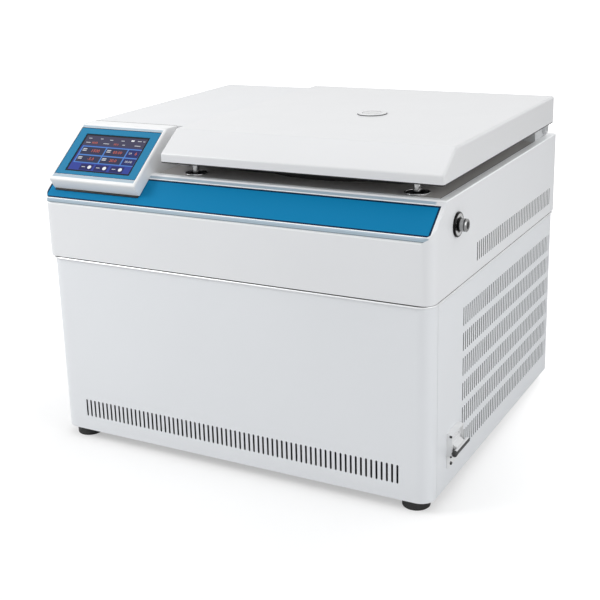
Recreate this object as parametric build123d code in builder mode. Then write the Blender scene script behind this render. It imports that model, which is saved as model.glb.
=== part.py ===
"""Bench cytocentrifuge: a steel cabinet under a moulded housing, with a hinged lid over a
stainless chamber, a six-place slide rotor and a touch console.

Millimetres. X runs to the right of someone at the console, Y towards the back, Z up.
The pieces are drawn about the middle of the cabinet and written about the middle of the
whole instrument, which the key lock makes a little longer on the right.
"""
import os
from math import atan2, cos, degrees, hypot, radians, sin

from build123d import *

os.makedirs("parts", exist_ok=True)

# ---------------------------------------------------------------- driving sizes
# Lower cabinet, folded from sheet steel
cabinet_width = 600.0
cabinet_depth = 522.0
cabinet_height = 274.0
cabinet_corner = 20.0          # radius of the two front corners
rear_corner = 3.0
sheet = 1.5
tray_sheet = 2.0
tray_wall = 22.0
side_flange = 12.0
wrap_depth = 25.0              # how far the front panel folds back along each side
panel_joint = 0.6              # open joint between neighbouring panels
seat = 0.3                     # clearance of a piece dropped into its seat
foot_height = 15.0
foot_diameter = 38.0
foot_side_inset = 28.0
foot_front_inset = 24.0
foot_rear_inset = 40.0
foot_round = 2.0
foot_well = 16.0               # bore that hides the foot's screw
cut_over = 1.0                 # how far a cutting shape runs past the face it cuts
small_chamfer = 1.0
trim_round = 0.6

# Air slots
front_slot_count = 69
front_slot_pitch = 7.5
front_slot_width = 3.0
front_slot_height = 27.0
front_slot_middle = 36.5       # above the cabinet's bottom edge
slit_width = 3.0
slit_height = 26.0
slit_count = 50
slit_first = 120.0             # from the front of the cabinet to the first slit
slit_back = 10.0               # from the last slit to the back of the cabinet
slit_pitch = (cabinet_depth - slit_first - slit_back) / (slit_count - 1)
slit_rows = 6
slit_row_pitch = 36.0
slit_first_row = 43.0          # middle of the lowest row above the bottom edge
housing_slit_count = 43
housing_slit_middle = 29.0     # above the seam
housing_slit_back = 28.0
rear_slot_count = 24
rear_slot_pitch = 12.0
rear_slot_width = 4.0
rear_slot_height = 60.0
rear_slot_row_gap = 12.0

# Mains inlet in the rear panel
inlet_side_inset = 60.0
inlet_up = 55.0                # its middle, above the cabinet's bottom edge
inlet_width = 31.0
inlet_height = 24.0
inlet_flange = 4.0
inlet_depth = 28.0
inlet_lip = 2.5
inlet_recess = 20.0

# Upper housing, moulded
housing_overhang = 3.0
housing_height = 125.0
housing_corner = 16.0
housing_wall = 3.0
housing_flange = 18.0
housing_flange_thickness = 3.0
housing_foot_round = 1.2
deck_edge_round = 1.5
slope_height = 86.5            # where the front turns into the slope, above the seam
slope_run = 48.6
top_thickness = 6.0
deck_rim = 12.0
deck_front_rim = 8.0
deck_sink = 1.5
deck_thickness = 2.5
deck_ledge = 8.0
fascia_left_rim = 1.5
fascia_right_rim = 5.0
fascia_low = 3.8               # along the slope from its lower edge
fascia_high = 53.0
fascia_corner_rim = 1.0
fascia_recess = 2.0
fascia_thickness = 1.6
brow_drop = 5.0                # from the slope's lower edge to the groove below it
brow_groove = 1.2
brow_end_rim = 14.0            # from the end of the groove to the housing's right side

# Console
console_left_rim = 12.5        # from the housing's side to the console
column_width = 166.5
column_height = 57.0           # above the deck rim
column_front = 116.0           # behind the cabinet's front
column_wall = 3.0
column_round = 4.0
pod_width = 151.0
pod_tilt = 36.6
pod_face = 110.0
pod_lip = 20.0
pod_crest = 27.0               # flat top ahead of the column
pod_wall = 3.0
pod_round = 3.0
bezel_width = 143.0
bezel_height = 91.0
bezel_top = 7.8
bezel_thickness = 2.4
bezel_recess = 2.8
bezel_corner = 1.5
screen_width = 113.4
screen_height = 72.0
screen_top = 19.3
screen_thickness = 4.0
screen_sink = 0.6

# Lid
lid_left = -115.0
lid_front = 33.5               # behind the cabinet's front
lid_rear = 507.0
lid_gap = 22.0                 # over the deck rim
lid_thickness = 40.0
lid_lip = 11.5                 # upright part of the lid's front
lid_bevel_run = 43.0
lid_wall = 3.0
lid_round = 4.0
lid_ledge = 6.0
lid_ledge_thickness = 3.0
liner_thickness = 2.0
port_x = 102.0
port_flange = 42.0
port_bore = 30.0
port_sleeve = 34.0
port_rise = 2.0
port_ledge = 1.5               # ledge that the window rests on
window_thickness = 3.0

# Hinges
hinge_spacing = 371.0
hinge_axis_height = 11.5       # above the deck rim
hinge_axis_inset = 10.0        # ahead of the lid's rear edge
hinge_block_width = 22.0
hinge_block_length = 45.0      # ahead of the axis
hinge_eye = 8.0
hinge_pin = 8.0
hinge_leaf = 5.0
hinge_leaf_plate = 2.0
hinge_side_gap = 0.3
running_fit = 0.05             # radial clearance of a turning pair

# Lid latch
latch_pin_spacing = 335.0
latch_pin_middle = 83.5        # x midway between the two pins
latch_pin_back = 75.5          # behind the cabinet's front
latch_pin = 10.0
latch_pin_length = 61.0
latch_pin_flange = 22.0
latch_pin_flange_thickness = 2.0
latch_pin_taper = 3.0
latch_groove = 6.0
latch_groove_height = 8.0
latch_groove_up = 8.0          # from the pin's tip to the groove
grommet_outer = 29.0
grommet_bore = 19.0
grommet_rise = 1.6
grommet_chamfer = 0.8
ring_outer = 34.0
ring_thickness = 2.4
latch_shaft_drop = 42.0        # shaft axis below the deck rim
latch_shaft_ahead = 17.5       # shaft axis ahead of the pins
latch_shaft = 8.0
latch_shaft_overhang = 20.0    # past the left-hand hook
latch_rest_angle = 25.0
hook_plate = 6.0
hook_rise = 15.0
hook_nose = 14.5
hook_thickness = 4.0
bracket_plate = 3.0
bracket_margin = 2.0
bracket_shoulder = 14.0
bracket_behind_pin = 14.0
bracket_beside_hook = 8.0
bracket_beside_lever = 22.0
lever_offset = 20.0            # solenoid lever, left of the middle between the pins
lever_reach = 15.0
lever_clearance = 1.0
solenoid_size = 30.0
solenoid_height = 40.0
solenoid_base = 4.0
solenoid_drop = 68.0           # foot of the solenoid below the shaft
solenoid_round = 3.0
plunger = 9.0
plunger_drop = 8.0             # room under the plunger for its stroke

# Key lock
lock_back = 82.0               # behind the cabinet's front
lock_drop = 39.0               # below the deck rim
lock_flange = 33.0
lock_flange_thickness = 3.0
lock_sleeve = 20.0
lock_sleeve_length = 22.0
lock_plug = 14.0
lock_head = 17.0
lock_reach = 14.0              # how far the head stands out of the housing
cam_reach = 9.0
cam_width = 10.0
cam_thickness = 3.0
key_slot_length = 9.0
key_slot_width = 2.4
key_slot_depth = 12.0

# Circuit breaker in the right-hand side panel
breaker_back = 82.0            # its middle, behind the cabinet's front
breaker_up = 62.0              # its middle, above the cabinet's bottom edge
breaker_width = 38.0
breaker_height = 26.0
breaker_depth = 55.0
breaker_face_rise = 2.0
breaker_nose = 17.0
breaker_nose_rise = 4.5
breaker_plate_width = 44.0
breaker_plate_height = 52.0
breaker_plate_drop = 10.0      # middle of the plate below the middle of the breaker
breaker_plate_thickness = 1.5
breaker_plate_corner = 3.0
hood_wall = 2.5
hood_rise = 8.0
hood_slope_run = 7.0
hood_slope_drop = 1.5
guard_rise = 12.0              # lip under the toggle
toggle_radius = 5.0
toggle_slot = 13.0
toggle_reach = 16.0
toggle_blade = 4.0
toggle_blade_length = 28.0
toggle_grip = 7.0
toggle_grip_length = 46.0
toggle_rest_angle = 35.0       # resting toggle points this far down

# Chamber and rotor
chamber_x = 92.0
chamber_back = 268.0           # behind the cabinet's front
chamber_radius = 160.0
chamber_depth = 115.0
chamber_floor_round = 22.0
bowl_wall = 1.5
bowl_flange = 14.0
gasket_width = 9.0
insulation = 18.0
floor_hole = 30.0              # radius of the hole in the chamber floor
seal_bore = 24.0
seal_thickness = 6.0
seal_overlap = 5.0
rotor_stations = 6
rotor_pivot_radius = 126.0
rotor_lift = 6.0               # rotor head over the chamber floor
rotor_plate = 8.0
rotor_hub = 60.0
rotor_hub_height = 32.0
rotor_plate_inset = 6.0        # plate's rim, inside the pivots
cheek_span = 34.0
pivot_height = 17.0            # carrier pivot above the underside of the rotor head
carrier_width = 36.0
carrier_height = 76.0          # above the pivot
carrier_lean = 14.0            # how far a resting carrier leans in
clip_sheet = 1.5
trunnion = 6.0
cheek = 4.0
funnel_cup = 24.0
funnel_bore = 19.0
funnel_height = 36.0
funnel_floor = 4.0
clip_back = 4.0                # slide's back plate, outward of the pivot
clip_foot = -10.0
clip_lip = 3.0
carrier_window = 26.0
pad_thickness = 4.0
pad_side_gap = 2.0
pad_lift = 2.0
pad_below_top = 14.0
cup_lift = 8.0
cup_gap = 5.0
spout_width = 10.0
spout_height = 14.0
spindle = 20.0
spindle_nose = 16.0
knob_diameter = 44.0
knob_height = 24.0
knob_grips = 8
knob_grip_radius = 5.0
knob_grip_out = 2.0

# Drive and cooling
motor_diameter = 140.0
motor_height = 180.0
motor_boss = 60.0
motor_boss_gap = 12.0
motor_round = 8.0
boss_gap = 4.0
spindle_seat = 40.0            # how deep the spindle stands in the motor
mount_size = 210.0
mount_thickness = 8.0
damper_diameter = 36.0
damper_height = 42.0
damper_inset = 6.0
compressor_diameter = 150.0
compressor_height = 190.0
compressor_side_inset = 115.0
compressor_rear_inset = 120.0
compressor_dome = 35.0
compressor_foot_round = 12.0
compressor_lift = 18.0
compressor_leg = 22.0
compressor_leg_inset = 16.0
compressor_leg_overlap = 14.0
condenser_width = 230.0
condenser_height = 200.0
condenser_depth = 36.0
condenser_side_inset = 30.0
condenser_front_inset = 22.0
fin_pitch = 12.0
fin_sheet = 2.0
tube_size = 10.0
tube_rows = 4
fan_frame_size = 200.0
fan_frame_depth = 26.0
fan_frame_corner = 10.0
fan_diameter = 180.0
fan_tip_gap = 3.0
fan_hub = 62.0
fan_shaft = 8.0
fan_strut = 6.0
fan_strut_depth = 4.0
fan_strut_overlap = 5.0
fan_blades = 7
blade_chord = 26.0
blade_thickness = 2.0
blade_pitch = 28.6             # degrees out of the fan's plane
blade_root = 25.0
inverter_width = 74.0
inverter_depth = 170.0
inverter_height = 150.0
inverter_side_gap = 4.0
inverter_rear_gap = 30.0
inverter_grooves = 12
inverter_groove_pitch = 12.0
inverter_groove_width = 5.0
inverter_groove_depth = 8.0
inverter_end_wall = 10.0

# ---------------------------------------------------------------- worked-out places
cabinet_bottom = foot_height
seam_z = cabinet_bottom + cabinet_height
deck_z = seam_z + housing_height
cabinet_front = -cabinet_depth / 2
cabinet_rear = cabinet_depth / 2
housing_width = cabinet_width + 2 * housing_overhang
housing_depth = cabinet_depth + 2 * housing_overhang
housing_front = -housing_depth / 2
housing_rear = housing_depth / 2
housing_side = housing_width / 2
slope_z = seam_z + slope_height
slope_angle = degrees(atan2(deck_z - slope_z, slope_run))
slope_length = hypot(deck_z - slope_z, slope_run)
slope_top_y = housing_front + slope_run
deck_top = deck_z - deck_sink
deck_under = deck_top - deck_thickness
deck_front = slope_top_y + deck_front_rim
deck_rear = housing_rear - deck_rim
deck_side = housing_side - deck_rim
chamber_y = cabinet_front + chamber_back
chamber_floor = deck_under - chamber_depth
lock_y = cabinet_front + lock_back
lock_z = deck_z - lock_drop

slope_plane = Plane(
    origin=(0, housing_front, slope_z),
    x_dir=(1, 0, 0),
    z_dir=(0, -sin(radians(slope_angle)), cos(radians(slope_angle))),
)


def footprint(inset, width, depth, front_radius, back_radius):
    """A rectangle with round front corners, drawn in from its full size by inset."""
    with BuildSketch() as plan:
        Rectangle(width - 2 * inset, depth - 2 * inset)
        fillet(plan.vertices().group_by(Axis.Y)[0], max(front_radius - inset, 0.5))
        fillet(plan.vertices().group_by(Axis.Y)[-1], max(back_radius - inset, 0.5))
    return plan.sketch


def cabinet_plan(inset):
    return footprint(inset, cabinet_width, cabinet_depth, cabinet_corner, rear_corner)


def housing_plan(inset):
    return footprint(inset, housing_width, housing_depth, housing_corner, rear_corner)


def finish(part, name):
    """Move a finished piece to the instrument's own middle, label it and write it."""
    placed = part.moved(Location((-lock_reach / 2, 0, 0)))
    placed.label = name
    export_step(placed, f"parts/{name}.step")


# ---------------------------------------------------------------- lower cabinet
tray_inset = sheet + seat

# Floor pan that everything heavy stands on
with BuildPart() as base_tray:
    with BuildSketch(Plane.XY.offset(cabinet_bottom)):
        add(cabinet_plan(tray_inset))
    extrude(amount=tray_wall)
    with BuildSketch(Plane.XY.offset(cabinet_bottom + tray_sheet)):
        add(cabinet_plan(tray_inset + tray_sheet))
    extrude(amount=tray_wall, mode=Mode.SUBTRACT)
finish(base_tray.part, "base_tray")

# Four rubber feet, hollowed underneath for the screw head
foot_points = [
    (side * (cabinet_width / 2 - foot_side_inset), y)
    for y in (cabinet_front + foot_front_inset, cabinet_rear - foot_rear_inset)
    for side in (-1, 1)
]
with BuildPart() as feet:
    with BuildSketch():
        with Locations(*foot_points):
            Circle(foot_diameter / 2)
    extrude(amount=foot_height)
    fillet(feet.edges().group_by(Axis.Z)[0], foot_round)
    with Locations(*foot_points):
        Cylinder(
            foot_well / 2, foot_height / 2,
            align=(Align.CENTER, Align.CENTER, Align.MIN), mode=Mode.SUBTRACT,
        )
finish(feet.part, "feet")

# Front panel: one sheet that folds round both front corners
wrap_y = cabinet_front + wrap_depth
with BuildPart() as front_panel:
    with BuildSketch(Plane.XY.offset(cabinet_bottom)):
        add(cabinet_plan(0))
        add(cabinet_plan(sheet), mode=Mode.SUBTRACT)
        with Locations((0, cabinet_front)):
            Rectangle(
                cabinet_width, wrap_depth,
                align=(Align.CENTER, Align.MIN), mode=Mode.INTERSECT,
            )
    extrude(amount=cabinet_height)
    with BuildSketch(Plane.XY.offset(seam_z - sheet)):
        add(cabinet_plan(sheet))
        add(cabinet_plan(side_flange), mode=Mode.SUBTRACT)
        with Locations((0, cabinet_front)):
            Rectangle(
                cabinet_width, wrap_depth,
                align=(Align.CENTER, Align.MIN), mode=Mode.INTERSECT,
            )
    extrude(amount=sheet)
    with BuildSketch(Plane.XZ.offset(-cabinet_front)):
        with Locations((0, cabinet_bottom + front_slot_middle)):
            with GridLocations(front_slot_pitch, 1, front_slot_count, 1):
                SlotOverall(front_slot_height, front_slot_width, rotation=90)
    extrude(amount=-2 * sheet, mode=Mode.SUBTRACT)
finish(front_panel.part, "front_panel")

# Side panels: a flat sheet with a flange folded in at each end and rows of upright slits
panel_start = wrap_y + panel_joint
panel_back = cabinet_rear
slit_middle_y = cabinet_rear - slit_back - (slit_count - 1) * slit_pitch / 2
slit_middle_z = cabinet_bottom + slit_first_row + (slit_rows - 1) * slit_row_pitch / 2
breaker_y = cabinet_front + breaker_back
breaker_z = cabinet_bottom + breaker_up


def plain_side_panel(side):
    """The folded side sheet before anything is cut through it."""
    flange_x = side * (cabinet_width / 2 - side_flange / 2)
    with BuildPart() as panel:
        with BuildSketch(Plane.XY.offset(cabinet_bottom)):
            with Locations((side * (cabinet_width - sheet) / 2, (panel_start + panel_back) / 2)):
                Rectangle(sheet, panel_back - panel_start)
        extrude(amount=cabinet_height)
        with BuildSketch(Plane.XY.offset(cabinet_bottom + tray_wall + seat)):
            with Locations(
                (flange_x, panel_start + sheet / 2),
                (flange_x, panel_back - sheet * 1.5),
            ):
                Rectangle(side_flange, sheet)
        extrude(amount=cabinet_height - tray_wall - seat)
    return panel.part


with BuildPart() as right_side_panel:
    add(plain_side_panel(1))
    with BuildSketch(Plane.YZ.offset(cabinet_width / 2)):
        with Locations((slit_middle_y, slit_middle_z)):
            with GridLocations(slit_pitch, slit_row_pitch, slit_count, slit_rows):
                Rectangle(slit_width, slit_height)
        with Locations((breaker_y, breaker_z)):
            Rectangle(breaker_width + 2 * seat, breaker_height + 2 * seat)
    extrude(amount=-2 * sheet, mode=Mode.SUBTRACT)
finish(right_side_panel.part, "right_side_panel")

with BuildPart() as left_side_panel:
    add(plain_side_panel(-1))
    with BuildSketch(Plane.YZ.offset(-cabinet_width / 2)):
        with Locations((slit_middle_y, slit_middle_z)):
            with GridLocations(2 * slit_pitch, 2 * slit_row_pitch, slit_count // 2, slit_rows // 2):
                Rectangle(slit_width, slit_height)
    extrude(amount=2 * sheet, mode=Mode.SUBTRACT)
finish(left_side_panel.part, "left_side_panel")

# Rear panel, set between the side panels, with the warm air outlet and the mains inlet
rear_panel_half = cabinet_width / 2 - sheet - seat
inlet_x = rear_panel_half - inlet_side_inset
inlet_z = cabinet_bottom + inlet_up
with BuildPart() as rear_panel:
    with BuildSketch(Plane.XZ.offset(-cabinet_rear)):
        with Locations((0, cabinet_bottom + cabinet_height / 2)):
            Rectangle(2 * rear_panel_half, cabinet_height)
        with Locations((-rear_panel_half / 3, cabinet_bottom + cabinet_height / 2)):
            with GridLocations(
                rear_slot_pitch, rear_slot_height + rear_slot_row_gap, rear_slot_count, 2
            ):
                Rectangle(rear_slot_width, rear_slot_height, mode=Mode.SUBTRACT)
        with Locations((inlet_x, inlet_z)):
            Rectangle(inlet_width + 2 * seat, inlet_height + 2 * seat, mode=Mode.SUBTRACT)
    extrude(amount=sheet)
finish(rear_panel.part, "rear_panel")

# Mains inlet: a socket in a flange against the rear panel
with BuildPart() as power_inlet:
    with BuildSketch(Plane.XZ.offset(-cabinet_rear)):
        with Locations((inlet_x, inlet_z)):
            Rectangle(inlet_width + 2 * inlet_flange, inlet_height + 2 * inlet_flange)
    extrude(amount=-inlet_lip)
    with BuildSketch(Plane.XZ.offset(-cabinet_rear)):
        with Locations((inlet_x, inlet_z)):
            Rectangle(inlet_width, inlet_height)
    extrude(amount=inlet_depth)
    with BuildSketch(Plane.XZ.offset(-cabinet_rear - inlet_lip)):
        with Locations((inlet_x, inlet_z)):
            Rectangle(inlet_width - inlet_lip * 2, inlet_height - inlet_lip * 2)
    extrude(amount=inlet_recess, mode=Mode.SUBTRACT)
finish(power_inlet.part, "power_inlet")

# ---------------------------------------------------------------- upper housing


def housing_block(inset, slope_inset, bottom, top):
    """The housing's outer form, drawn in by inset all round and by slope_inset at the slope."""
    run = slope_plane.x_dir.cross(slope_plane.z_dir) * -1
    inward = slope_plane.z_dir * -slope_inset
    low = slope_plane.origin + inward - run * slope_length
    high = slope_plane.origin + inward + run * 2 * slope_length
    with BuildPart() as block:
        with BuildSketch(Plane.XY.offset(bottom)):
            add(housing_plan(inset))
        extrude(amount=top - bottom)
        with BuildSketch(Plane.YZ.offset(-housing_side)):
            with BuildLine():
                Polyline((low.Y, low.Z), (high.Y, high.Z), (low.Y, high.Z), close=True)
            make_face()
        extrude(amount=housing_width, mode=Mode.SUBTRACT)
    return block.part


fascia_width = housing_width - fascia_left_rim - fascia_right_rim
fascia_x = (fascia_left_rim - fascia_right_rim) / 2


def fascia_space(clearance, depth):
    """The shallow space in the slope for the coloured strip."""
    with BuildPart() as space:
        with BuildSketch(slope_plane.offset(-fascia_recess)):
            with Locations((fascia_x, (fascia_low + fascia_high) / 2)):
                Rectangle(fascia_width - 2 * clearance, fascia_high - fascia_low - 2 * clearance)
        extrude(amount=depth)
        add(
            housing_block(fascia_corner_rim + clearance, -cut_over, seam_z, deck_z),
            mode=Mode.INTERSECT,
        )
    return space.part


housing_slit_y = housing_rear - housing_slit_back - (housing_slit_count - 1) * slit_pitch / 2

with BuildPart() as upper_housing:
    add(housing_block(0, 0, seam_z, deck_z))
    fillet(upper_housing.faces().sort_by(Axis.Z)[0].edges(), housing_foot_round)
    fillet(upper_housing.faces().sort_by(Axis.Z)[-1].edges(), deck_edge_round)
    add(
        housing_block(
            housing_wall, housing_wall,
            seam_z + housing_flange_thickness, deck_z - top_thickness,
        ),
        mode=Mode.SUBTRACT,
    )
    with BuildSketch(Plane.XY.offset(seam_z)):
        add(housing_plan(housing_flange))
    extrude(amount=housing_flange_thickness, mode=Mode.SUBTRACT)
    # Sunk seat of the deck panel, with a ledge all round it
    with BuildSketch(Plane.XY.offset(deck_z)):
        with Locations((0, (deck_front + deck_rear) / 2)):
            Rectangle(2 * deck_side, deck_rear - deck_front)
    extrude(amount=-(deck_sink + deck_thickness), mode=Mode.SUBTRACT)
    with BuildSketch(Plane.XY.offset(deck_z)):
        with Locations((0, (deck_front + deck_rear) / 2)):
            Rectangle(2 * (deck_side - deck_ledge), deck_rear - deck_front - 2 * deck_ledge)
    extrude(amount=-top_thickness - cut_over, mode=Mode.SUBTRACT)
    add(fascia_space(0, fascia_recess + cut_over), mode=Mode.SUBTRACT)
    # Shadow groove across the front, just below the slope
    with BuildSketch(Plane.XZ.offset(-housing_front)):
        with Locations((-brow_end_rim / 2, seam_z + slope_height - brow_drop)):
            Rectangle(housing_width - brow_end_rim, brow_groove)
    extrude(amount=-brow_groove, mode=Mode.SUBTRACT)
    # Air slits on both sides, and the hole for the key lock
    with BuildSketch(Plane.YZ.offset(-housing_side)):
        with Locations((housing_slit_y, seam_z + housing_slit_middle)):
            with GridLocations(slit_pitch, 1, housing_slit_count, 1):
                Rectangle(slit_width, slit_height)
    extrude(amount=housing_width, mode=Mode.SUBTRACT)
    with BuildSketch(Plane.YZ.offset(housing_side)):
        with Locations((lock_y, lock_z)):
            Circle(lock_sleeve / 2 + seat)
    extrude(amount=-2 * housing_wall, mode=Mode.SUBTRACT)
finish(upper_housing.part, "upper_housing")

with BuildPart() as fascia_strip:
    add(fascia_space(seat, fascia_thickness))
finish(fascia_strip.part, "fascia_strip")

# Deck panel, with the chamber's mouth and the two holes for the latch pins
latch_pin_y = cabinet_front + latch_pin_back
latch_pins_x = [
    latch_pin_middle - latch_pin_spacing / 2,
    latch_pin_middle + latch_pin_spacing / 2,
]
with BuildPart() as deck_panel:
    with BuildSketch(Plane.XY.offset(deck_under)):
        with Locations((0, (deck_front + deck_rear) / 2)):
            Rectangle(2 * (deck_side - seat), deck_rear - deck_front - 2 * seat)
        with Locations((chamber_x, chamber_y)):
            Circle(chamber_radius, mode=Mode.SUBTRACT)
        with Locations(*[(x, latch_pin_y) for x in latch_pins_x]):
            Circle(grommet_outer / 2 + seat, mode=Mode.SUBTRACT)
    extrude(amount=deck_thickness)
finish(deck_panel.part, "deck_panel")

# ---------------------------------------------------------------- console
console_left = -housing_side + console_left_rim
column_y = cabinet_front + column_front
column_rear = deck_rear - seat
column_top = deck_z + column_height
column_x = console_left + column_width / 2

# Hollow column beside the lid, open underneath
with BuildPart() as console_column:
    with BuildSketch(Plane.XY.offset(deck_top)):
        with Locations((column_x, (column_y + column_rear) / 2)):
            Rectangle(column_width, column_rear - column_y)
    extrude(amount=column_top - deck_top)
    fillet(
        console_column.edges().filter_by(Axis.Z).group_by(Axis.Y)[-1]
        + console_column.faces().sort_by(Axis.Z)[-1].edges().sort_by(Axis.Y)[1:],
        column_round,
    )
    with BuildSketch(Plane.XY.offset(deck_top)):
        with Locations((column_x, (column_y + column_rear) / 2)):
            Rectangle(column_width - 2 * column_wall, column_rear - column_y - 2 * column_wall)
    extrude(amount=column_top - deck_top - column_wall, mode=Mode.SUBTRACT)
    # Way through for the console's wiring
    with BuildSketch(Plane.XZ.offset(-column_y)):
        with Locations((console_left + pod_width / 2, deck_z + column_height / 2)):
            Rectangle(pod_width / 2, column_height / 3)
    extrude(amount=-2 * column_wall, mode=Mode.SUBTRACT)
finish(console_column.part, "console_column")

# Console pod: a wedge that leans over the slope, with its face tilted to the operator
tilt = radians(pod_tilt)
pod_x = console_left + pod_width / 2
crest_y = column_y - pod_crest
face_plane = Plane(
    origin=(pod_x, crest_y, column_top), x_dir=(1, 0, 0), z_dir=(0, -sin(tilt), cos(tilt))
)
face_foot = (crest_y - pod_face * cos(tilt), column_top - pod_face * sin(tilt))
lip_foot = (face_foot[0] + pod_lip * sin(tilt), face_foot[1] - pod_lip * cos(tilt))


def pod_profile():
    """Side view of the pod: face, lip, underside along the slope, step over the deck rim."""
    with BuildSketch() as outline:
        with BuildLine():
            Polyline(
                (column_y, column_top),
                (crest_y, column_top),
                face_foot,
                lip_foot,
                (slope_top_y, deck_z),
                (deck_front + seat, deck_z),
                (deck_front + seat, deck_top),
                (column_y, deck_top),
                close=True,
            )
        make_face()
    return outline.sketch


with BuildPart() as console_pod:
    with BuildSketch(Plane.YZ.offset(console_left)):
        add(pod_profile())
    extrude(amount=pod_width)
    fillet(
        console_pod.faces().sort_by(Axis((0, 0, 0), face_plane.z_dir))[-1].edges(),
        pod_round,
    )
    # Hollow, open at the back against the column
    with BuildSketch(Plane.YZ.offset(console_left + pod_wall)):
        add(pod_profile())
        offset(amount=-pod_wall, kind=Kind.INTERSECTION)
    extrude(amount=pod_width - 2 * pod_wall, mode=Mode.SUBTRACT)
    with BuildSketch(Plane.XZ.offset(-column_y)):
        with Locations((pod_x, (deck_z + column_top) / 2)):
            Rectangle(pod_width - 2 * pod_wall, column_height - 2 * pod_wall)
    extrude(amount=2 * pod_wall, mode=Mode.SUBTRACT)
    # Seat of the bezel and the opening behind the screen
    with BuildSketch(face_plane):
        with Locations((0, -bezel_top - bezel_height / 2)):
            Rectangle(bezel_width + 2 * seat, bezel_height + 2 * seat)
    extrude(amount=-bezel_recess, mode=Mode.SUBTRACT)
    with BuildSketch(face_plane):
        with Locations((0, -screen_top - screen_height / 2)):
            Rectangle(screen_width + 2 * seat, screen_height + 2 * seat)
    extrude(amount=-2 * pod_wall, mode=Mode.SUBTRACT)
finish(console_pod.part, "console_pod")

with BuildPart() as console_bezel:
    with BuildSketch(face_plane.offset(-bezel_recess)):
        with Locations((0, -bezel_top - bezel_height / 2)):
            RectangleRounded(bezel_width, bezel_height, bezel_corner)
        with Locations((0, -screen_top - screen_height / 2)):
            Rectangle(screen_width + 2 * seat, screen_height + 2 * seat, mode=Mode.SUBTRACT)
    extrude(amount=bezel_thickness)
finish(console_bezel.part, "console_bezel")

with BuildPart() as touch_screen:
    with BuildSketch(face_plane.offset(-bezel_recess + bezel_thickness - screen_sink)):
        with Locations((0, -screen_top - screen_height / 2)):
            Rectangle(screen_width, screen_height)
    extrude(amount=-screen_thickness)
finish(touch_screen.part, "touch_screen")

# ---------------------------------------------------------------- lid
lid_z = deck_z + lid_gap
lid_top = lid_z + lid_thickness
lid_y0 = cabinet_front + lid_front
lid_y1 = cabinet_front + lid_rear
lid_right = housing_side
lid_width = lid_right - lid_left
lid_x = (lid_left + lid_right) / 2


def lid_profile(bottom):
    """Side view of the lid, down to the given level."""
    with BuildSketch() as outline:
        with BuildLine():
            Polyline(
                (lid_y0, bottom),
                (lid_y0, lid_z + lid_lip),
                (lid_y0 + lid_bevel_run, lid_top),
                (lid_y1, lid_top),
                (lid_y1, bottom),
                close=True,
            )
        make_face()
    return outline.sketch


liner_top = lid_z + liner_thickness
port_y = chamber_y
with BuildPart() as lid_shell:
    with BuildSketch(Plane.YZ.offset(lid_left)):
        add(lid_profile(lid_z))
    extrude(amount=lid_width)
    fillet(
        lid_shell.edges() - lid_shell.faces().sort_by(Axis.Z)[0].edges(),
        lid_round,
    )
    # Hollow above a ledge, with the liner's seat below it
    with BuildSketch(Plane.YZ.offset(lid_left + lid_wall)):
        add(lid_profile(liner_top + lid_ledge_thickness - lid_wall))
        offset(amount=-lid_wall, kind=Kind.INTERSECTION)
    extrude(amount=lid_width - 2 * lid_wall, mode=Mode.SUBTRACT)
    with BuildSketch(Plane.XY.offset(lid_z)):
        with Locations((lid_x, (lid_y0 + lid_y1) / 2)):
            Rectangle(lid_width - 2 * lid_wall, lid_y1 - lid_y0 - 2 * lid_wall)
    extrude(amount=liner_thickness, mode=Mode.SUBTRACT)
    with BuildSketch(Plane.XY.offset(lid_z)):
        with Locations((lid_x, (lid_y0 + lid_y1) / 2)):
            Rectangle(
                lid_width - 2 * (lid_wall + lid_ledge),
                lid_y1 - lid_y0 - 2 * (lid_wall + lid_ledge),
            )
    extrude(amount=liner_thickness + lid_ledge_thickness + cut_over, mode=Mode.SUBTRACT)
    with Locations((port_x, port_y, lid_top)):
        Hole(port_sleeve / 2 + seat, depth=2 * lid_wall)
finish(lid_shell.part, "lid_shell")

# Steel plate that closes the lid from below and meets the chamber gasket
with BuildPart() as lid_liner:
    with BuildSketch(Plane.XY.offset(lid_z)):
        with Locations((lid_x, (lid_y0 + lid_y1) / 2)):
            Rectangle(
                lid_width - 2 * (lid_wall + seat),
                lid_y1 - lid_y0 - 2 * (lid_wall + seat),
            )
        with Locations((port_x, port_y)):
            Circle(port_bore / 2, mode=Mode.SUBTRACT)
    extrude(amount=liner_thickness)
finish(lid_liner.part, "lid_liner")

# Sight port: a sleeve down to the liner with a low flange on top, and its window
with BuildPart() as sight_port_ring:
    with BuildSketch(Plane.XY.offset(liner_top)):
        with Locations((port_x, port_y)):
            Circle(port_sleeve / 2)
    extrude(amount=lid_top - liner_top)
    with BuildSketch(Plane.XY.offset(lid_top)):
        with Locations((port_x, port_y)):
            Circle(port_flange / 2)
    extrude(amount=port_rise)
    fillet(sight_port_ring.edges().group_by(Axis.Z)[-1], trim_round)
    with Locations((port_x, port_y, lid_top + port_rise)):
        CounterBoreHole(
            port_bore / 2 - port_ledge, port_bore / 2 + seat, window_thickness,
            depth=lid_thickness + port_rise,
        )
finish(sight_port_ring.part, "sight_port_ring")

with BuildPart() as sight_port_window:
    with BuildSketch(Plane.XY.offset(lid_top + port_rise - window_thickness)):
        with Locations((port_x, port_y)):
            Circle(port_bore / 2)
    extrude(amount=window_thickness - seat)
finish(sight_port_window.part, "sight_port_window")

# ---------------------------------------------------------------- lid hinges
hinge_y = lid_y1 - hinge_axis_inset
hinge_z = deck_z + hinge_axis_height
hinge_centres = [lid_x - hinge_spacing / 2, lid_x + hinge_spacing / 2]
leaf_plate_z = lid_z - hinge_leaf_plate

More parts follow.
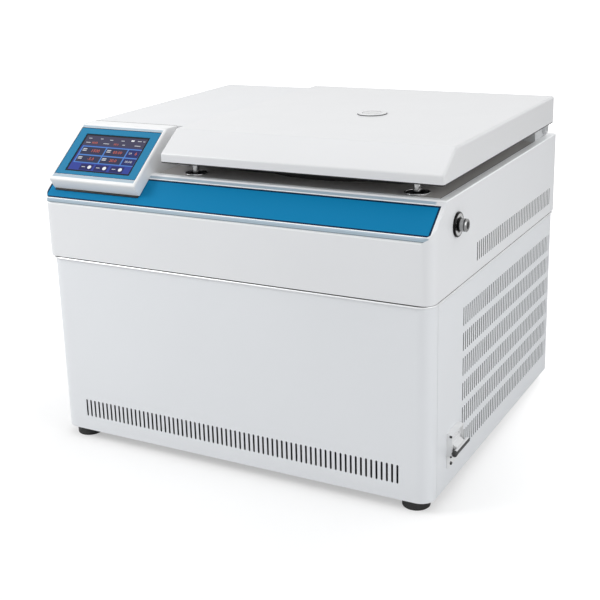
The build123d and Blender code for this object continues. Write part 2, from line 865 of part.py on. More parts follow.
with BuildPart() as hinge_blocks:
    for centre in hinge_centres:
        with BuildSketch(Plane.YZ.offset(centre - hinge_block_width / 2)):
            with BuildLine():
                Polyline(
                    (hinge_y, hinge_z + hinge_eye),
                    (hinge_y - hinge_block_length, hinge_z + hinge_eye),
                    (hinge_y - hinge_block_length, deck_top),
                    (hinge_y + hinge_eye, deck_top),
                    (hinge_y + hinge_eye, hinge_z),
                )
                RadiusArc((hinge_y + hinge_eye, hinge_z), (hinge_y, hinge_z + hinge_eye), -hinge_eye)
            make_face()
            with Locations((hinge_y, hinge_z)):
                Circle(hinge_pin / 2, mode=Mode.SUBTRACT)
        extrude(amount=hinge_block_width)
finish(hinge_blocks.part, "hinge_blocks")

hinge_reach = hinge_block_width / 2 + hinge_side_gap
with BuildPart() as hinge_pins:
    for centre in hinge_centres:
        with BuildSketch(Plane.YZ.offset(centre - hinge_reach - hinge_leaf)):
            with Locations((hinge_y, hinge_z)):
                Circle(hinge_pin / 2)
        extrude(amount=2 * (hinge_reach + hinge_leaf))
finish(hinge_pins.part, "hinge_pins")

with BuildPart() as hinge_leaves:
    for centre in hinge_centres:
        for side in (-1, 1):
            outer = centre + side * (hinge_reach + hinge_leaf / 2) - hinge_leaf / 2
            with BuildSketch(Plane.YZ.offset(outer)):
                with Locations((hinge_y, hinge_z)):
                    Circle(hinge_eye)
                with Locations((hinge_y, (hinge_z + lid_z) / 2)):
                    Rectangle(2 * hinge_eye, lid_z - hinge_z)
                with Locations((hinge_y, hinge_z)):
                    Circle(hinge_pin / 2 + running_fit, mode=Mode.SUBTRACT)
            extrude(amount=hinge_leaf)
        with BuildSketch(Plane.XY.offset(leaf_plate_z)):
            with Locations((centre, hinge_y + hinge_eye)):
                Rectangle(
                    2 * (hinge_reach + hinge_leaf), hinge_block_length,
                    align=(Align.CENTER, Align.MAX),
                )
        extrude(amount=hinge_leaf_plate)
finish(hinge_leaves.part, "hinge_leaves")

# ---------------------------------------------------------------- lid latch
pin_tip = lid_z - latch_pin_length
groove_low = pin_tip + latch_groove_up

# Two grooved pins under the lid
with BuildPart() as latch_pins:
    for x in latch_pins_x:
        with BuildSketch(Plane(origin=(x, latch_pin_y, 0), x_dir=(1, 0, 0), z_dir=(0, -1, 0))):
            with BuildLine():
                Polyline(
                    (0, lid_z),
                    (latch_pin_flange / 2, lid_z),
                    (latch_pin_flange / 2, lid_z - latch_pin_flange_thickness),
                    (latch_pin / 2, lid_z - latch_pin_flange_thickness),
                    (latch_pin / 2, groove_low + latch_groove_height),
                    (latch_groove / 2, groove_low + latch_groove_height),
                    (latch_groove / 2, groove_low),
                    (latch_pin / 2, groove_low),
                    (latch_pin / 2, pin_tip + latch_pin_taper),
                    (latch_pin / 2 - latch_pin_taper, pin_tip),
                    (0, pin_tip),
                    close=True,
                )
            make_face()
        revolve(axis=Axis((x, latch_pin_y, 0), (0, 0, 1)))
finish(latch_pins.part, "latch_pins")

# Black grommets in the deck, each inside a bright ring
with BuildPart() as pin_grommets:
    with BuildSketch(Plane.XY.offset(deck_under)):
        with Locations(*[(x, latch_pin_y) for x in latch_pins_x]):
            Circle(grommet_outer / 2)
            Circle(grommet_bore / 2, mode=Mode.SUBTRACT)
    extrude(amount=deck_thickness + grommet_rise)
    chamfer(pin_grommets.edges().group_by(Axis.Z)[-1], grommet_chamfer)
finish(pin_grommets.part, "pin_grommets")

with BuildPart() as grommet_rings:
    with BuildSketch(Plane.XY.offset(deck_top)):
        with Locations(*[(x, latch_pin_y) for x in latch_pins_x]):
            Circle(ring_outer / 2)
            Circle(grommet_outer / 2 + seat, mode=Mode.SUBTRACT)
    extrude(amount=ring_thickness)
    fillet(grommet_rings.edges().group_by(Axis.Z)[-1], trim_round)
finish(grommet_rings.part, "grommet_rings")

# Cross shaft under the deck with a hook for each pin; it rests clear of the pins
shaft_y = latch_pin_y - latch_shaft_ahead
shaft_z = deck_z - latch_shaft_drop
rest = radians(latch_rest_angle)
shaft_start = latch_pins_x[0] - hook_plate - latch_shaft_overhang
cam_x = housing_side - lock_sleeve_length - seat
shaft_end = cam_x - cam_thickness / 2 + hook_plate / 2
lever_x = latch_pin_middle - lever_offset
cam_sweep = hypot(cam_reach, lock_plug / 2)
release_reach = hypot(lock_y - shaft_y, lock_z - shaft_z) - cam_sweep - lever_clearance
release_angle = degrees(atan2(lock_z - shaft_z, lock_y - shaft_y))


def shaft_plane(x):
    """Upright plane across the shaft, turned back to the hooks' resting angle."""
    return Plane(origin=(x, shaft_y, shaft_z), x_dir=(0, cos(rest), sin(rest)), z_dir=(1, 0, 0))


with BuildPart() as latch_hooks:
    with BuildSketch(Plane.YZ.offset(shaft_start)):
        with Locations((shaft_y, shaft_z)):
            Circle(latch_shaft / 2)
    extrude(amount=shaft_end - shaft_start)
    for x in latch_pins_x:
        with BuildSketch(shaft_plane(x - hook_plate / 2)):
            Circle(latch_shaft)
            with Locations((0, (hook_rise + hook_thickness / 2) / 2)):
                Rectangle(latch_shaft, hook_rise + hook_thickness / 2)
            with Locations((-latch_shaft / 2, hook_rise)):
                Rectangle(
                    hook_nose + latch_shaft / 2, hook_thickness,
                    align=(Align.MIN, Align.CENTER),
                )
        extrude(amount=hook_plate)
    with BuildSketch(shaft_plane(lever_x - hook_plate / 2)):
        Circle(latch_shaft)
        Rectangle(lever_reach + latch_shaft / 2, latch_shaft, align=(Align.MAX, Align.CENTER))
    extrude(amount=hook_plate)
    # Release lever beside the key lock's cam
    with BuildSketch(Plane.YZ.offset(shaft_end - hook_plate)):
        with Locations((shaft_y, shaft_z)):
            Circle(latch_shaft)
            Rectangle(
                release_reach, latch_shaft,
                rotation=release_angle, align=(Align.MIN, Align.CENTER),
            )
    extrude(amount=hook_plate)
finish(latch_hooks.part, "latch_hooks")

# Plates that hang from the deck and carry the shaft; the middle one also holds the solenoid
solenoid_z = shaft_z - solenoid_drop
solenoid_y = shaft_y - lever_reach
bracket_front = deck_front + deck_ledge + bracket_margin
bracket_back = latch_pin_y + bracket_behind_pin
bracket_xs = [
    shaft_start + bracket_beside_hook,
    lever_x - bracket_beside_lever,
    latch_pins_x[1] - hook_plate - bracket_beside_hook,
]
with BuildPart() as latch_brackets:
    for index, x in enumerate(bracket_xs):
        foot_y = shaft_y - latch_shaft - bracket_margin
        foot_z = shaft_z - latch_shaft - 2 * bracket_margin
        if index == 1:
            foot_y = solenoid_y - solenoid_size / 2
            foot_z = solenoid_z
        with BuildSketch(Plane.YZ.offset(x)):
            with BuildLine():
                Polyline(
                    (bracket_front, deck_under),
                    (bracket_back, deck_under),
                    (bracket_back, foot_z),
                    (foot_y, foot_z),
                    (foot_y, shaft_z + latch_shaft),
                    (bracket_front, shaft_z + latch_shaft + bracket_shoulder),
                    close=True,
                )
            make_face()
            with Locations((shaft_y, shaft_z)):
                Circle(latch_shaft / 2 + running_fit, mode=Mode.SUBTRACT)
        extrude(amount=bracket_plate)
finish(latch_brackets.part, "latch_brackets")

solenoid_x = bracket_xs[1] + bracket_plate + solenoid_size / 2
with BuildPart() as latch_solenoid:
    with BuildSketch(Plane.XY.offset(solenoid_z)):
        with Locations((solenoid_x, solenoid_y)):
            Rectangle(solenoid_size, solenoid_size)
    extrude(amount=solenoid_height)
    fillet(latch_solenoid.edges().filter_by(Axis.Z), solenoid_round)
    with Locations((solenoid_x, solenoid_y, solenoid_z + solenoid_height)):
        Hole(plunger / 2 + running_fit, depth=solenoid_height - solenoid_base)
finish(latch_solenoid.part, "latch_solenoid")

lever_tip = lever_reach + latch_shaft / 2
plunger_foot = solenoid_z + solenoid_base + plunger_drop
plunger_top = shaft_z - lever_tip * sin(rest) - latch_shaft / 2 * cos(rest) - seat
with BuildPart() as solenoid_plunger:
    with BuildSketch(Plane.XY.offset(plunger_foot)):
        with Locations((solenoid_x, solenoid_y)):
            Circle(plunger / 2)
    extrude(amount=plunger_top - plunger_foot)
    chamfer(solenoid_plunger.edges().group_by(Axis.Z)[-1], small_chamfer)
finish(solenoid_plunger.part, "solenoid_plunger")

# ---------------------------------------------------------------- key lock
with BuildPart() as lock_body:
    with BuildSketch(Plane.YZ.offset(housing_side)):
        with Locations((lock_y, lock_z)):
            Circle(lock_flange / 2)
    extrude(amount=lock_flange_thickness)
    chamfer(lock_body.edges().group_by(Axis.X)[-1], small_chamfer)
    with BuildSketch(Plane.YZ.offset(housing_side)):
        with Locations((lock_y, lock_z)):
            Circle(lock_sleeve / 2)
    extrude(amount=-lock_sleeve_length)
    with BuildSketch(Plane.YZ.offset(housing_side - lock_sleeve_length)):
        with Locations((lock_y, lock_z)):
            Circle(lock_plug / 2 + running_fit)
    extrude(amount=lock_sleeve_length + lock_flange_thickness, mode=Mode.SUBTRACT)
finish(lock_body.part, "lock_body")

with BuildPart() as lock_barrel:
    with BuildSketch(Plane.YZ.offset(cam_x)):
        with Locations((lock_y, lock_z)):
            Circle(lock_plug / 2)
    extrude(amount=lock_sleeve_length + seat + lock_reach)
    with BuildSketch(Plane.YZ.offset(housing_side + lock_flange_thickness + seat)):
        with Locations((lock_y, lock_z)):
            Circle(lock_head / 2)
    extrude(amount=lock_reach - lock_flange_thickness - seat)
    chamfer(lock_barrel.edges().group_by(Axis.X)[-1], small_chamfer)
    with BuildSketch(Plane.YZ.offset(housing_side + lock_reach)):
        with Locations((lock_y, lock_z)):
            SlotOverall(key_slot_length, key_slot_width, rotation=90)
    extrude(amount=-key_slot_depth, mode=Mode.SUBTRACT)
    with BuildSketch(Plane.YZ.offset(cam_x)):
        with Locations((lock_y, lock_z)):
            Circle(lock_plug / 2)
            Rectangle(cam_width, cam_reach, align=(Align.CENTER, Align.MAX))
    extrude(amount=-cam_thickness)
finish(lock_barrel.part, "lock_barrel")

# ---------------------------------------------------------------- circuit breaker
breaker_face = cabinet_width / 2
slot_half = toggle_blade_length / 2 + seat
with BuildPart() as breaker_body:
    with BuildSketch(Plane.YZ.offset(breaker_face - breaker_depth)):
        with Locations((breaker_y, breaker_z)):
            Rectangle(breaker_width, breaker_height)
    extrude(amount=breaker_depth + breaker_face_rise)
    # Raised nose with the slot that the toggle swings in
    with BuildSketch(Plane.YZ.offset(breaker_face)):
        with Locations((breaker_y, breaker_z)):
            Rectangle(breaker_width, breaker_nose)
    extrude(amount=breaker_nose_rise)
    with BuildSketch(Plane.XZ.offset(-(breaker_y - slot_half))):
        with Locations((breaker_face, breaker_z)):
            Circle(toggle_radius + seat)
            Rectangle(breaker_depth, toggle_slot, align=(Align.MIN, Align.CENTER))
    extrude(amount=-2 * slot_half, mode=Mode.SUBTRACT)
finish(breaker_body.part, "breaker_body")

# Toggle: a blade from its pivot to a round grip bar
rest_turn = radians(toggle_rest_angle)
with BuildPart() as breaker_toggle:
    with BuildSketch(Plane.XZ.offset(-(breaker_y - toggle_blade_length / 2))):
        with Locations((breaker_face, breaker_z)):
            Circle(toggle_radius)
            Rectangle(
                toggle_reach, toggle_blade,
                rotation=-toggle_rest_angle, align=(Align.MIN, Align.CENTER),
            )
    extrude(amount=-toggle_blade_length)
    with BuildSketch(Plane.XZ.offset(-(breaker_y - toggle_grip_length / 2))):
        with Locations((
            breaker_face + toggle_reach * cos(rest_turn),
            breaker_z - toggle_reach * sin(rest_turn),
        )):
            Circle(toggle_grip / 2)
    extrude(amount=-toggle_grip_length)
finish(breaker_toggle.part, "breaker_toggle")

# Cover: a screwed plate with a hood round the breaker, sloped on top, and a lip below
hood_low = breaker_z - breaker_height / 2 - seat - hood_wall
hood_high = breaker_z + breaker_height / 2 + seat + hood_wall
hood_half = breaker_width / 2 + seat + hood_wall
with BuildPart() as breaker_frame:
    with BuildSketch(Plane.YZ.offset(breaker_face)):
        with Locations((breaker_y, breaker_z - breaker_plate_drop)):
            RectangleRounded(breaker_plate_width, breaker_plate_height, breaker_plate_corner)
    extrude(amount=breaker_plate_thickness)
    with BuildSketch(Plane.XZ.offset(-(breaker_y - hood_half))):
        with BuildLine():
            Polyline(
                (breaker_face, hood_low),
                (breaker_face + guard_rise, hood_low),
                (breaker_face + guard_rise, hood_low + hood_wall),
                (breaker_face + hood_rise, hood_low + hood_wall),
                (breaker_face + hood_rise, hood_high - hood_slope_drop),
                (breaker_face + hood_rise - hood_slope_run, hood_high),
                (breaker_face, hood_high),
                close=True,
            )
        make_face()
    extrude(amount=-2 * hood_half)
    with BuildSketch(Plane.YZ.offset(breaker_face)):
        with Locations((breaker_y, breaker_z)):
            Rectangle(breaker_width + 2 * seat, breaker_height + 2 * seat)
    extrude(amount=guard_rise, mode=Mode.SUBTRACT)
finish(breaker_frame.part, "breaker_frame")

# ---------------------------------------------------------------- chamber
chamber_axis = Axis((chamber_x, chamber_y, 0), (0, 0, 1))
chamber_section = Plane(origin=(chamber_x, chamber_y, 0), x_dir=(1, 0, 0), z_dir=(0, -1, 0))

# Pressed bowl: flange under the deck, straight wall, round corner and flat floor
with BuildPart() as chamber_bowl:
    with BuildSketch(chamber_section):
        with BuildLine():
            Polyline(
                (chamber_radius + bowl_flange, deck_under),
                (chamber_radius, deck_under),
                (chamber_radius, chamber_floor + chamber_floor_round),
            )
            RadiusArc(
                (chamber_radius, chamber_floor + chamber_floor_round),
                (chamber_radius - chamber_floor_round, chamber_floor),
                chamber_floor_round,
            )
            Line(
                (chamber_radius - chamber_floor_round, chamber_floor),
                (floor_hole, chamber_floor),
            )
            Line((floor_hole, chamber_floor), (floor_hole, chamber_floor - bowl_wall))
            Line(
                (floor_hole, chamber_floor - bowl_wall),
                (chamber_radius - chamber_floor_round, chamber_floor - bowl_wall),
            )
            RadiusArc(
                (chamber_radius - chamber_floor_round, chamber_floor - bowl_wall),
                (chamber_radius + bowl_wall, chamber_floor + chamber_floor_round),
                -(chamber_floor_round + bowl_wall),
            )
            Polyline(
                (chamber_radius + bowl_wall, chamber_floor + chamber_floor_round),
                (chamber_radius + bowl_wall, deck_under - bowl_wall),
                (chamber_radius + bowl_flange, deck_under - bowl_wall),
                (chamber_radius + bowl_flange, deck_under),
            )
        make_face()
    revolve(axis=chamber_axis)
finish(chamber_bowl.part, "chamber_bowl")

# Tall rubber seal that stands on the deck round the chamber's mouth
with BuildPart() as chamber_gasket:
    with BuildSketch(Plane.XY.offset(deck_top)):
        with Locations((chamber_x, chamber_y)):
            Circle(chamber_radius + gasket_width)
            Circle(chamber_radius, mode=Mode.SUBTRACT)
    extrude(amount=lid_z - seat - deck_top)
    fillet(chamber_gasket.edges().group_by(Axis.Z)[-1], gasket_width / 3)
finish(chamber_gasket.part, "chamber_gasket")

# Foam jacket that keeps the bowl cold
jacket_radius = chamber_radius + bowl_wall + seat
motor_clear = motor_boss / 2 + motor_boss_gap
with BuildPart() as bowl_insulation:
    with BuildSketch(Plane.XY.offset(chamber_floor - bowl_wall - seat - insulation)):
        with Locations((chamber_x, chamber_y)):
            Circle(jacket_radius + insulation)
            Circle(motor_clear, mode=Mode.SUBTRACT)
    extrude(amount=insulation)
    with BuildSketch(Plane.XY.offset(chamber_floor - bowl_wall - seat)):
        with Locations((chamber_x, chamber_y)):
            Circle(jacket_radius + insulation)
            Circle(jacket_radius, mode=Mode.SUBTRACT)
    extrude(amount=deck_under - 3 * bowl_wall - chamber_floor)
finish(bowl_insulation.part, "bowl_insulation")

# Rubber seal round the spindle, under the chamber floor
with BuildPart() as spindle_seal:
    with BuildSketch(Plane.XY.offset(chamber_floor - bowl_wall - seal_thickness)):
        with Locations((chamber_x, chamber_y)):
            Circle(floor_hole + seal_overlap)
            Circle(seal_bore / 2, mode=Mode.SUBTRACT)
    extrude(amount=seal_thickness)
finish(spindle_seal.part, "spindle_seal")

# ---------------------------------------------------------------- drive
tray_floor = cabinet_bottom + tray_sheet
mount_z = tray_floor + damper_height
motor_z = mount_z + mount_thickness
motor_top = motor_z + motor_height
boss_top = chamber_floor - bowl_wall - seal_thickness - boss_gap
damper_offset = mount_size / 2 - damper_diameter / 2 - damper_inset

with BuildPart() as motor_dampers:
    with BuildSketch(Plane.XY.offset(tray_floor)):
        with Locations((chamber_x, chamber_y)):
            with GridLocations(2 * damper_offset, 2 * damper_offset, 2, 2):
                Circle(damper_diameter / 2)
    extrude(amount=damper_height)
finish(motor_dampers.part, "motor_dampers")

with BuildPart() as motor_mount:
    with BuildSketch(Plane.XY.offset(mount_z)):
        with Locations((chamber_x, chamber_y)):
            RectangleRounded(mount_size, mount_size, damper_diameter / 2)
    extrude(amount=mount_thickness)
finish(motor_mount.part, "motor_mount")

spindle_foot = motor_top - spindle_seat
with BuildPart() as drive_motor:
    with BuildSketch(Plane.XY.offset(motor_z)):
        with Locations((chamber_x, chamber_y)):
            Circle(motor_diameter / 2)
    extrude(amount=motor_height)
    fillet(drive_motor.edges().group_by(Axis.Z)[-1], motor_round)
    with BuildSketch(Plane.XY.offset(motor_top)):
        with Locations((chamber_x, chamber_y)):
            Circle(motor_boss / 2)
    extrude(amount=boss_top - motor_top)
    with Locations((chamber_x, chamber_y, boss_top)):
        Hole(spindle / 2 + running_fit, depth=boss_top - spindle_foot + seat)
finish(drive_motor.part, "drive_motor")

rotor_z = chamber_floor + rotor_lift
hub_top = rotor_z + rotor_hub_height
with BuildPart() as drive_spindle:
    with BuildSketch(Plane.XY.offset(spindle_foot)):
        with Locations((chamber_x, chamber_y)):
            Circle(spindle / 2)
    extrude(amount=rotor_z - spindle_foot)
    with BuildSketch(Plane.XY.offset(rotor_z)):
        with Locations((chamber_x, chamber_y)):
            Circle(spindle_nose / 2)
    extrude(amount=rotor_hub_height + knob_height / 2)
finish(drive_spindle.part, "drive_spindle")

# Rotor head: a plate with a hub and a pair of upright cheeks at each station
pivot_z = rotor_z + pivot_height
cheek_inner = carrier_width / 2 + seat
plate_radius = rotor_pivot_radius - rotor_plate_inset


def station_plane(angle, x):
    """Upright radial plane of a station, moved sideways by x along the tangent."""
    turn = radians(angle)
    outward = Vector(cos(turn), sin(turn), 0)
    tangent = Vector(-sin(turn), cos(turn), 0)
    centre = Vector(chamber_x, chamber_y, pivot_z) + outward * rotor_pivot_radius
    return Plane(origin=centre + tangent * x, x_dir=outward, z_dir=tangent * -1)


station_angles = [index * 360 / rotor_stations for index in range(rotor_stations)]

with BuildPart() as rotor_head:
    with BuildSketch(Plane.XY.offset(rotor_z)):
        with Locations((chamber_x, chamber_y)):
            Circle(plate_radius)
    extrude(amount=rotor_plate)
    with BuildSketch(Plane.XY.offset(rotor_z + rotor_plate)):
        with Locations((chamber_x, chamber_y)):
            Circle(rotor_hub / 2)
    extrude(amount=rotor_hub_height - rotor_plate)
    for angle in station_angles:
        for x in (cheek_inner + cheek, -cheek_inner):
            with BuildSketch(station_plane(angle, x)):
                with BuildLine():
                    Polyline(
                        (trunnion * 1.5, trunnion * 1.5),
                        (-trunnion, trunnion * 1.5),
                        (-cheek_span, rotor_plate - pivot_height),
                        (-cheek_span, -pivot_height),
                        (trunnion * 1.5, -pivot_height),
                        close=True,
                    )
                make_face()
                Circle(trunnion / 2 + running_fit, mode=Mode.SUBTRACT)
            extrude(amount=cheek)
    # Windows in the plate under the stations, where the carriers' feet swing
    for angle in station_angles:
        with BuildSketch(station_plane(angle, cheek_inner)):
            with Locations((0, -pivot_height + rotor_plate / 2)):
                Rectangle(carrier_window, rotor_plate + 2 * cut_over)
        extrude(amount=2 * cheek_inner, mode=Mode.SUBTRACT)
    with Locations((chamber_x, chamber_y, hub_top)):
        Hole(spindle_nose / 2 + running_fit, depth=rotor_hub_height)
finish(rotor_head.part, "rotor_head")

# Hand nut that clamps the rotor on the spindle
with BuildPart() as rotor_nut:
    with BuildSketch(Plane.XY.offset(hub_top)):
        with Locations((chamber_x, chamber_y)):
            Circle(knob_diameter / 2)
            with PolarLocations(knob_diameter / 2 + knob_grip_out, knob_grips):
                Circle(knob_grip_radius, mode=Mode.SUBTRACT)
    extrude(amount=knob_height)
    chamfer(rotor_nut.faces().sort_by(Axis.Z)[-1].edges(), small_chamfer)
    with Locations((chamber_x, chamber_y, hub_top)):
        Cylinder(
            spindle_nose / 2 + running_fit, knob_height / 2 + seat,
            align=(Align.CENTER, Align.CENTER, Align.MIN), mode=Mode.SUBTRACT,
        )
finish(rotor_nut.part, "rotor_nut")

# ---------------------------------------------------------------- slide carriers
lean = radians(carrier_lean)


def carrier_plane(angle):
    """A station's own frame: X along the tangent, Y outward, Z up the leaning slide."""
    turn = radians(angle)
    outward = Vector(cos(turn), sin(turn), 0)
    up = outward * -sin(lean) + Vector(0, 0, cos(lean))
    centre = Vector(chamber_x, chamber_y, pivot_z) + outward * rotor_pivot_radius
    return Plane(origin=centre, x_dir=(sin(turn), -cos(turn), 0), z_dir=up)


pad_width = carrier_width - 2 * clip_sheet - 2 * pad_side_gap
pad_foot = trunnion + pad_lift
cup_y = clip_back - cup_gap - funnel_cup / 2
cup_foot = pad_foot + cup_lift
for index, angle in enumerate(station_angles):
    frame = carrier_plane(angle)
    # Spring-steel clip: a back plate with folded edges, and a cheek and trunnion each side
    with BuildPart() as slide_clip:
        with BuildSketch(frame.offset(clip_foot)):
            with Locations((0, clip_back)):
                Rectangle(carrier_width, clip_sheet, align=(Align.CENTER, Align.MIN))
            for side in (-1, 1):
                with Locations((side * (carrier_width - clip_sheet) / 2, clip_back + clip_sheet)):
                    Rectangle(clip_sheet, clip_lip, align=(Align.CENTER, Align.MAX))
        extrude(amount=carrier_height - clip_foot)
        with BuildSketch(frame.offset(-trunnion)):
            for side in (-1, 1):
                with Locations((side * (carrier_width - clip_sheet) / 2, clip_back + clip_sheet)):
                    Rectangle(
                        clip_sheet, clip_back + clip_sheet + trunnion,
                        align=(Align.CENTER, Align.MAX),
                    )
        extrude(amount=2 * trunnion)
        for side in (-1, 1):
            stub = Plane(
                origin=frame.origin + frame.x_dir * side * (carrier_width / 2 - clip_sheet),
                x_dir=frame.y_dir, z_dir=frame.x_dir * side,
            )
            with BuildSketch(stub):
                Circle(trunnion / 2)
            extrude(amount=clip_sheet + seat + cheek)
    finish(slide_clip.part, f"slide_clip_{index + 1}")

    # Sample funnel: a pad against the slide, a cup inboard of it and the spout between
    with BuildPart() as sample_funnel:
        with BuildSketch(frame.offset(pad_foot)):
            with Locations((0, clip_back)):
                Rectangle(pad_width, pad_thickness, align=(Align.CENTER, Align.MAX))
        extrude(amount=carrier_height - pad_foot - pad_below_top)
        with BuildSketch(frame.offset(cup_foot)):
            with Locations((0, cup_y)):
                Circle(funnel_cup / 2)
            with Locations((0, clip_back - pad_thickness / 2)):
                Rectangle(spout_width, clip_back - cup_y, align=(Align.CENTER, Align.MAX))
        extrude(amount=spout_height)
        with BuildSketch(frame.offset(cup_foot)):
            with Locations((0, cup_y)):
                Circle(funnel_cup / 2)
        extrude(amount=funnel_height)
        with BuildSketch(frame.offset(cup_foot + funnel_floor)):
            with Locations((0, cup_y)):
                Circle(funnel_bore / 2)
        extrude(amount=funnel_height, mode=Mode.SUBTRACT)
    finish(sample_funnel.part, f"sample_funnel_{index + 1}")

# ---------------------------------------------------------------- cooling
compressor_x = compressor_side_inset - cabinet_width / 2
compressor_y = cabinet_rear - compressor_rear_inset
with BuildPart() as compressor:
    with BuildSketch(Plane.XY.offset(tray_floor + compressor_lift)):
        with Locations((compressor_x, compressor_y)):
            Circle(compressor_diameter / 2)
    extrude(amount=compressor_height)
    fillet(compressor.edges().group_by(Axis.Z)[-1], compressor_dome)
    fillet(compressor.edges().group_by(Axis.Z)[0], compressor_foot_round)
    with BuildSketch(Plane.XY.offset(tray_floor)):
        with Locations((compressor_x, compressor_y)):
            with PolarLocations(compressor_diameter / 2 - compressor_leg_inset, 3):
                Circle(compressor_leg / 2)
    extrude(amount=compressor_lift + compressor_leg_overlap)
finish(compressor.part, "compressor")

# Finned condenser behind the front slots, with its fan drawing air through it
condenser_x = condenser_side_inset + condenser_width / 2 - cabinet_width / 2
condenser_y = cabinet_front + condenser_front_inset
with BuildPart() as condenser:
    with BuildSketch(Plane.XY.offset(tray_floor)):
        with Locations((condenser_x, condenser_y + condenser_depth / 2)):
            with GridLocations(condenser_width - fin_sheet, 1, 2, 1):
                Rectangle(2 * fin_sheet, condenser_depth)
            with GridLocations(fin_pitch, 1, int(condenser_width / fin_pitch) - 1, 1):
                Rectangle(fin_sheet, condenser_depth)
    extrude(amount=condenser_height)
    with BuildSketch(Plane.YZ.offset(condenser_x - condenser_width / 2)):
        with Locations((condenser_y + condenser_depth / 2, tray_floor + condenser_height / 2)):
            with GridLocations(1, condenser_height / tube_rows, 1, tube_rows):
                Rectangle(tube_size, tube_size)
    extrude(amount=condenser_width)
finish(condenser.part, "condenser")

fan_x = condenser_x
fan_y = condenser_y + condenser_depth
fan_z = tray_floor + fan_frame_size / 2
fan_struts_at = fan_frame_depth - fan_strut_depth
fan_plane = Plane(origin=(fan_x, fan_y, fan_z), x_dir=(-1, 0, 0), z_dir=(0, 1, 0))
with BuildPart() as fan_frame:
    with BuildSketch(fan_plane):
        RectangleRounded(fan_frame_size, fan_frame_size, fan_frame_corner)
        Circle(fan_diameter / 2 + fan_tip_gap, mode=Mode.SUBTRACT)
    extrude(amount=fan_frame_depth)
    with BuildSketch(fan_plane.offset(fan_struts_at)):
        Circle(fan_hub / 2)
        with PolarLocations(0, 3, start_angle=30):
            Rectangle(fan_diameter + 2 * fan_strut_overlap, fan_strut)
    extrude(amount=fan_strut_depth)
    with BuildSketch(fan_plane.offset(fan_strut_depth)):
        Circle(fan_shaft / 2)
    extrude(amount=fan_struts_at)
finish(fan_frame.part, "fan_frame")

# Hub with seven pitched blades, turning on the frame's shaft
hub_start = fan_tip_gap
hub_length = fan_struts_at - hub_start - small_chamfer
pitch = radians(blade_pitch)
with BuildPart() as condenser_fan:
    with BuildSketch(fan_plane.offset(hub_start)):
        Circle(fan_hub / 2)
    extrude(amount=hub_length)
    for blade in range(fan_blades):
        turn = radians(blade * 360 / fan_blades)
        outward = fan_plane.x_dir * cos(turn) + fan_plane.y_dir * sin(turn)
        across = fan_plane.y_dir * cos(turn) - fan_plane.x_dir * sin(turn)
        blade_plane = Plane(
            origin=fan_plane.origin
            + outward * blade_root
            + fan_plane.z_dir * (hub_start + hub_length / 2),
            x_dir=across * cos(pitch) + fan_plane.z_dir * sin(pitch),
            z_dir=outward,
        )
        with BuildSketch(blade_plane):
            Rectangle(blade_chord, blade_thickness)
        extrude(amount=fan_diameter / 2 - fan_tip_gap - blade_root)
    with BuildSketch(fan_plane):
        Circle(fan_shaft / 2 + running_fit)
    extrude(amount=fan_frame_depth, mode=Mode.SUBTRACT)
finish(condenser_fan.part, "condenser_fan")

# ---------------------------------------------------------------- electronics
inverter_x = cabinet_width / 2 - side_flange - inverter_side_gap - inverter_width / 2
inverter_y = cabinet_rear - inverter_rear_gap - inverter_depth / 2
with BuildPart() as motor_inverter:
    with BuildSketch(Plane.XY.offset(tray_floor)):
        with Locations((inverter_x, inverter_y)):
            Rectangle(inverter_width, inverter_depth)
    extrude(amount=inverter_height)
    with BuildSketch(Plane.XY.offset(tray_floor + inverter_end_wall)):
        with Locations((inverter_x - inverter_width / 2, inverter_y)):
            with GridLocations(1, inverter_groove_pitch, 1, inverter_grooves):
                Rectangle(2 * inverter_groove_depth, inverter_groove_width)
    extrude(amount=inverter_height - 2 * inverter_end_wall, mode=Mode.SUBTRACT)
finish(motor_inverter.part, "motor_inverter")
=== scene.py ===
"""The looks of the bench cytocentrifuge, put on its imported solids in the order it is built."""
import math

import bmesh
import bpy
from mathutils import Matrix, Vector


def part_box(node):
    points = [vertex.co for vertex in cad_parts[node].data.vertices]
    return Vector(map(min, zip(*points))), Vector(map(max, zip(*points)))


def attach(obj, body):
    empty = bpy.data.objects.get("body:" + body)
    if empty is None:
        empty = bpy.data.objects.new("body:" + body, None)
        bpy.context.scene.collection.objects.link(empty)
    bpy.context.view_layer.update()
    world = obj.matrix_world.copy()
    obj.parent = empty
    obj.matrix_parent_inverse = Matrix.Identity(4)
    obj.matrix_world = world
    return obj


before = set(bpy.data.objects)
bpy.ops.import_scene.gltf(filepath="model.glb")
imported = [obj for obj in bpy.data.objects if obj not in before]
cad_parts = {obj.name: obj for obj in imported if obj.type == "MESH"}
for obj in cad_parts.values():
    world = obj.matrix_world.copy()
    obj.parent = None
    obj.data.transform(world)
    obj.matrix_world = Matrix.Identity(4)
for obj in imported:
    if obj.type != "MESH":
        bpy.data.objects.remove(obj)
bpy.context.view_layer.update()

# ---------------------------------------------------------------- base tray
# The floor of the cabinet, a shallow tray folded from galvanised sheet. It is left bare, so
# the crystals of the zinc show as a faint patchwork.


